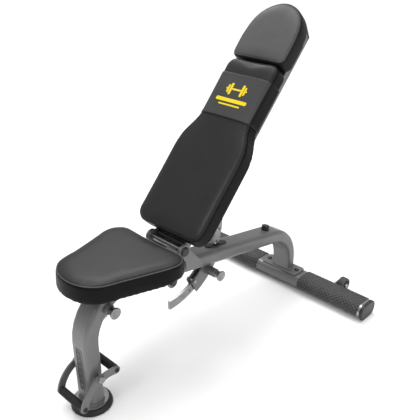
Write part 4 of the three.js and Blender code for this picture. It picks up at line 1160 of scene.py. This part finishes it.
class BENCH_OT_stabiliser(bpy.types.Operator):
    """Finish the rear stabiliser, its treads, caps and wheels"""

    bl_idname = "bench.stabiliser"
    bl_label = "Stabiliser and wheels"

    def execute(self, context):
        _, detail, _ = settings_of(context)
        carry_over(["stabiliser_tube"], "frame", "paint", 0)
        carry_over(["wheel_tab_right", "wheel_tab_left"], "frame", "paint", detail.edge)
        carry_over(["wheel_axle_right", "wheel_axle_left"], "frame", "steel", 0.0004)
        carry_over(["end_cap_right", "end_cap_left"], "frame", "plastic", 0.0022)
        carry_over(["base_bolt_right", "base_bolt_left"], "frame", "black", 0)
        for side in ("right", "left"):
            self.end_ring(side)
            self.tread(side, detail)
            self.wheel(side, detail)
        return {"FINISHED"}

    def section(self, along, proud):
        """A point on the stabiliser's section, along its surface from the middle of its top."""
        low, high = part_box("stabiliser_tube")
        half_y, half_z = (high.y - low.y) / 2, (high.z - low.z) / 2
        radius = half_z - 0.0005
        flat = half_y - radius
        side = 1 if along >= 0 else -1
        distance = abs(along)
        centre = Vector((0, (low.y + high.y) / 2, (low.z + high.z) / 2))
        if distance <= flat:
            normal = Vector((0, 0, 1))
            return centre + Vector((0, side * distance, half_z + proud)), normal
        turn = (distance - flat) / radius
        normal = Vector((0, side * math.sin(turn), math.cos(turn)))
        return centre + Vector((0, side * flat, half_z - radius)) + normal * (radius + proud), normal

    def end_ring(self, side):
        """A bright band between a tread and its end cap."""
        sign = 1 if side == "right" else -1
        tread_end, tube_end = (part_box(node)[sign > 0].x for node in (f"tread_{side}", "stabiliser_tube"))
        reach, count = 0.0, 72
        while self.section(reach, 0)[1].z > -0.9999 and reach < 0.2:
            reach += 0.0005

        def band(work):
            rings = []
            start, end = tread_end + sign * 0.0006, tube_end - sign * 0.0004
            for x, proud in ((start, 0.0002), (start, 0.0014), (end, 0.0014), (end, 0.0002)):
                ring = [self.section(reach * (2 * k / count - 1), proud)[0] for k in range(count)]
                rings.append([work.verts.new((x, p.y, p.z)) for p in ring])
            for low, high in zip(rings, rings[1:] + rings[:1]):
                bridged(work, low, high)

        new_piece(f"end_ring_{side}", mesh_of(band), "frame", "trim")

    def tread(self, side, detail):
        node = f"tread_{side}"
        low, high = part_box(node)
        thick = high.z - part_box("stabiliser_tube")[1].z
        rise = detail.diamond_rise
        reach = 0.001
        while self.section(reach, thick)[0].z > low.z:
            reach += 0.0005
        count = 48

        def base(work):
            ends = []
            steps = [reach * (2 * k / count - 1) for k in range(count + 1)]
            outer = [self.section(step, thick - rise)[0] for step in steps]
            inner = [self.section(step, 0.0003)[0] for step in reversed(steps)]
            for x in (low.x, high.x):
                ends.append([work.verts.new((x, p.y, p.z)) for p in outer + inner])
            total = len(ends[0])
            bridged(work, *ends)
            for end in ends:
                for i in range(count):
                    work.faces.new((end[i], end[i + 1], end[total - 2 - i], end[total - 1 - i]))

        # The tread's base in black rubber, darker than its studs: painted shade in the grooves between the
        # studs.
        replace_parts(new_piece(f"{node}_part", mesh_of(base), "frame", "rubber"), node)
        across, along = detail.diamond, detail.diamond * 0.82
        places = []
        rows = int(2 * (reach - 0.004) / (along / 2))
        for r in range(rows + 1):
            distance = -reach + 0.005 + r * (2 * reach - 0.010) / rows
            point, normal = self.section(distance, thick - rise + rise / 2 - 0.00005)
            columns = int((high.x - low.x - 0.010) / across)
            for c in range(columns + (r % 2 == 0)):
                x = low.x + 0.005 + (c + (0 if r % 2 == 0 else 0.5)) * (high.x - low.x - 0.010) / columns
                places.append((Vector((x, point.y, point.z)), Vector((1, 0, 0)), normal))
        size = (across * 0.90, along * 0.90, rise, 1.0)
        # The studs in the lighter tread rubber: painted light on the studs.
        repeated(f"{node}_diamonds", places, "frame", "tread", "stud", size)

    def wheel(self, side, detail):
        node = f"wheel_{side}"
        low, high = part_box(node)
        centre = (low + high) / 2
        radius, half = (high.z - low.z) / 2, (high.x - low.x) / 2
        profile = [
            (-half, 0.0055), (-half, 0.011), (-half + 0.003, 0.012), (-half + 0.003, radius - 0.009),
            (-half, radius - 0.008), (-half, radius - 0.004),
            (-half + 0.0012, radius - 0.0012), (-half + 0.004, radius),
        ]
        flank = len(profile)
        for along in (-0.006, 0.0, 0.006):
            groove = ((-0.001, 0), (-0.0006, 0.0014), (0.0006, 0.0014), (0.001, 0))
            profile += [(along + aside, radius - deep) for aside, deep in groove]
        profile += [(-along, r) for along, r in profile[flank - 1::-1]]

        def build(work):
            rings = turned(work, profile, centre, (1, 0, 0), detail.facets)
            bridged(work, rings[-1], rings[0])

        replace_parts(new_piece(f"{node}_part", mesh_of(build), node, "tread"), node)
        spokes = []
        for k in range(6):
            turn = math.pi / 3 * k
            out = Vector((0, math.cos(turn), math.sin(turn)))
            for end in (-1, 1):
                point = Vector((centre.x + end * (half - 0.0022), centre.y, centre.z)) + out * 0.0155
                spokes.append((point, out, Vector((end, 0, 0))))
        repeated(f"{node}_spokes", spokes, node, "tread", "stud", (0.010, 0.004, 0.003, 1.0))


class BENCH_OT_pins(bpy.types.Operator):
    """Finish the two pull pins"""

    bl_idname = "bench.pins"
    bl_label = "Pull pins"

    def execute(self, context):
        _, detail, _ = settings_of(context)
        for pin in ("back_pin", "seat_pin"):
            body = pin.replace("pin", "pull_pin")
            carry_over([f"{pin}_housing"], "frame", "paint", 0.0006)
            carry_over([f"{pin}_rod"], body, "steel", 0)
            low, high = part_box(f"{pin}_knob")
            centre = (low + high) / 2
            radius, start, end = (high.z - low.z) / 2, low.x, high.x
            profile = [(start, 0), (start, 0.012), (start + 0.001, 0.0135), (start + 0.003, radius - 0.0022)]
            for k in range(5):
                turn = math.radians(22.5 * k)
                profile.append((end - 0.003 * (1 - math.sin(turn)), radius - 0.003 * (1 - math.cos(turn))))
            profile += [(end, radius - 0.006), (end - 0.0012, radius - 0.008), (end - 0.0014, 0)]
            middle = (0, centre.y, centre.z)
            mesh = mesh_of(lambda work: turned(work, profile, middle, (1, 0, 0), detail.facets))
            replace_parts(new_piece(f"{pin}_knob_part", mesh, body, "steel"), f"{pin}_knob")
        return {"FINISHED"}


class BENCH_OT_back_frame(bpy.types.Operator):
    """Finish the steelwork that carries the back rest"""

    bl_idname = "bench.back_frame"
    bl_label = "Back frame"

    def execute(self, context):
        pads, detail, _ = settings_of(context)
        carry_over(["back_rail_right", "back_rail_left"], "back_rest", "paint", 0.0015)
        carry_over(["rail_plug_right", "rail_plug_left"], "back_rest", "plastic", 0.0012)
        carry_over(["back_arm_right", "back_arm_left"], "back_rest", "paint", detail.edge)
        plates = ["pad_plate_low", "pad_plate_high", "stop_bar", "arc_bar"]
        carry_over(plates, "back_rest", "black", detail.edge)
        carry_over(["back_cross_tube"], "back_rest", "black", 0.0005)
        carry_over(["back_arc"], "back_rest", "steel", 0.0005)
        matrix = leaning("back_tilt", pads.back_lean)
        turn = matrix.to_3x3()
        screws = []
        for node in ("pad_plate_low", "pad_plate_high"):
            corners = corners_in(node, matrix)
            under = min(c.z for c in corners)
            middle = (min(c.y for c in corners) + max(c.y for c in corners)) / 2
            screws += [(x, middle, under) for x in (-0.074, -0.024, 0.024, 0.074)]
        pad_screws("pad_screws", matrix, screws, "back_rest", detail.screw)
        bolts = []
        for side in (-1, 1):
            for y, z in ((0.130, -0.040), (0.182, -0.038)):
                place = Vector((side * (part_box("back_arm_right")[1].x + 0.0021), y, z))
                bolts.append((matrix @ place, turn @ Vector((0, 1, 0)), Vector((side, 0, 0))))
        repeated("arm_bolts", bolts, "back_rest", "steel", "screw", (0.017, 0.017, 0.0045, 1.0))
        return {"FINISHED"}


class BENCH_OT_seat_frame(bpy.types.Operator):
    """Finish the steelwork that carries the seat"""

    bl_idname = "bench.seat_frame"
    bl_label = "Seat frame"

    def execute(self, context):
        pads, detail, _ = settings_of(context)
        carry_over(["seat_bracket"], "seat", "paint", detail.edge)
        carry_over(["seat_arc"], "seat", "steel", 0.0005)
        matrix = leaning("seat_tilt", pads.seat_lean)
        under = max(c.z for c in corners_in("seat_bracket", matrix)) - 0.005
        screws = [(x, y, under) for x in (-0.056, 0.056) for y in (-0.200, -0.118, -0.045)]
        pad_screws("seat_screws", matrix, screws, "seat", detail.screw)
        return {"FINISHED"}


# ---------------------------------------------------------------- stage
CAMERA_PLACE = (1.17093, -0.72757, 1.31608)
CAMERA_TURN = math.radians(43.4)
CAMERA_DROP = math.radians(26.83)
CAMERA_LENS = 51.26


class BENCH_OT_stage(bpy.types.Operator):
    """Set the floor, the lights and the camera"""

    bl_idname = "bench.stage"
    bl_label = "Stage"

    def execute(self, context):
        scene = context.scene
        low, reach = -0.0005, 40.0
        corners = [(x * reach, y * reach, low) for x, y in ((-1, -1), (1, -1), (1, 1), (-1, 1))]
        floor_mesh = bpy.data.meshes.new("floor")
        floor_mesh.from_pydata(corners, [], [(0, 1, 2, 3)])
        linked("floor", floor_mesh)
        finish = Finish("pale_floor", 0.0)
        shade = finish.mixed(finish.noise(3), (0.90, 0.90, 0.90), (0.93, 0.93, 0.93))
        floor_mesh.materials.append(finish.surface(shade, 0.8))

        world = bpy.data.worlds.new("studio")
        world.use_nodes = True
        background = world.node_tree.nodes["Background"].inputs
        background["Color"].default_value = (1.0, 1.0, 1.0, 1)
        background["Strength"].default_value = 0.45
        scene.world = world
        scene.view_settings.view_transform = "Standard"

        self.light("overhead", "SUN", (0, 0, 0), (0.18, -0.14, -1.3), energy=2.3, angle=math.radians(50))
        for name, place, size, power in (
            ("key", (-1.8, 1.6, 2.6), 1.2, 24),
            ("edge", (2.9, 0.1, 1.5), 0.9, 16),
            ("front", (0.4, -1.7, 2.7), 1.2, 24),
        ):
            aim = Vector((0, 0.45, 0.45)) - Vector(place)
            self.light(name, "AREA", place, aim, shape="DISK", size=size, energy=power)

        data = bpy.data.cameras.new("camera")
        data.lens = CAMERA_LENS
        data.sensor_width = 36
        scene.camera = linked("camera", data)
        scene.camera.location = CAMERA_PLACE
        scene.camera.rotation_euler = (math.pi / 2 - CAMERA_DROP, 0, CAMERA_TURN)
        return {"FINISHED"}

    def light(self, name, kind, place, aim, **values):
        data = bpy.data.lights.new(name, kind)
        for key, value in values.items():
            setattr(data, key, value)
        light = linked(name, data)
        light.location = place
        light.rotation_euler = Vector(aim).to_track_quat("-Z", "Y").to_euler()


class BENCH_PT_panel(bpy.types.Panel):
    """Sizes, colours and steps of the weight bench"""

    bl_idname = "BENCH_PT_panel"
    bl_label = "Weight Bench"
    bl_space_type = "VIEW_3D"
    bl_region_type = "UI"
    bl_category = "Weight Bench"

    def draw(self, context):
        for group in settings_of(context):
            box = self.layout.box()
            for name in group.bl_rna.properties.keys():
                if name not in ("rna_type", "name"):
                    box.prop(group, name)
        for step in STEPS:
            self.layout.operator(step.bl_idname)


STEPS = (
    BENCH_OT_stage,
    BENCH_OT_finishes,
    BENCH_OT_seat_cushion,
    BENCH_OT_head_cushion,
    BENCH_OT_back_cushion,
    BENCH_OT_main_frame,
    BENCH_OT_foot,
    BENCH_OT_stabiliser,
    BENCH_OT_pins,
    BENCH_OT_back_frame,
    BENCH_OT_seat_frame,
)
GROUPS = (BenchPads, BenchDetail, BenchColours)
CLASSES = (*GROUPS, *STEPS, BENCH_PT_panel)


def register():
    for cls in CLASSES:
        bpy.utils.register_class(cls)
    bpy.types.Scene.bench_pads = PointerProperty(type=BenchPads)
    bpy.types.Scene.bench_detail = PointerProperty(type=BenchDetail)
    bpy.types.Scene.bench_colours = PointerProperty(type=BenchColours)


def unregister():
    del bpy.types.Scene.bench_colours
    del bpy.types.Scene.bench_detail
    del bpy.types.Scene.bench_pads
    for cls in reversed(CLASSES):
        bpy.utils.unregister_class(cls)


def main():
    register()
    for step in STEPS:
        group, name = step.bl_idname.split(".")
        getattr(getattr(bpy.ops, group), name)()


if __name__ == "__main__":
    main()
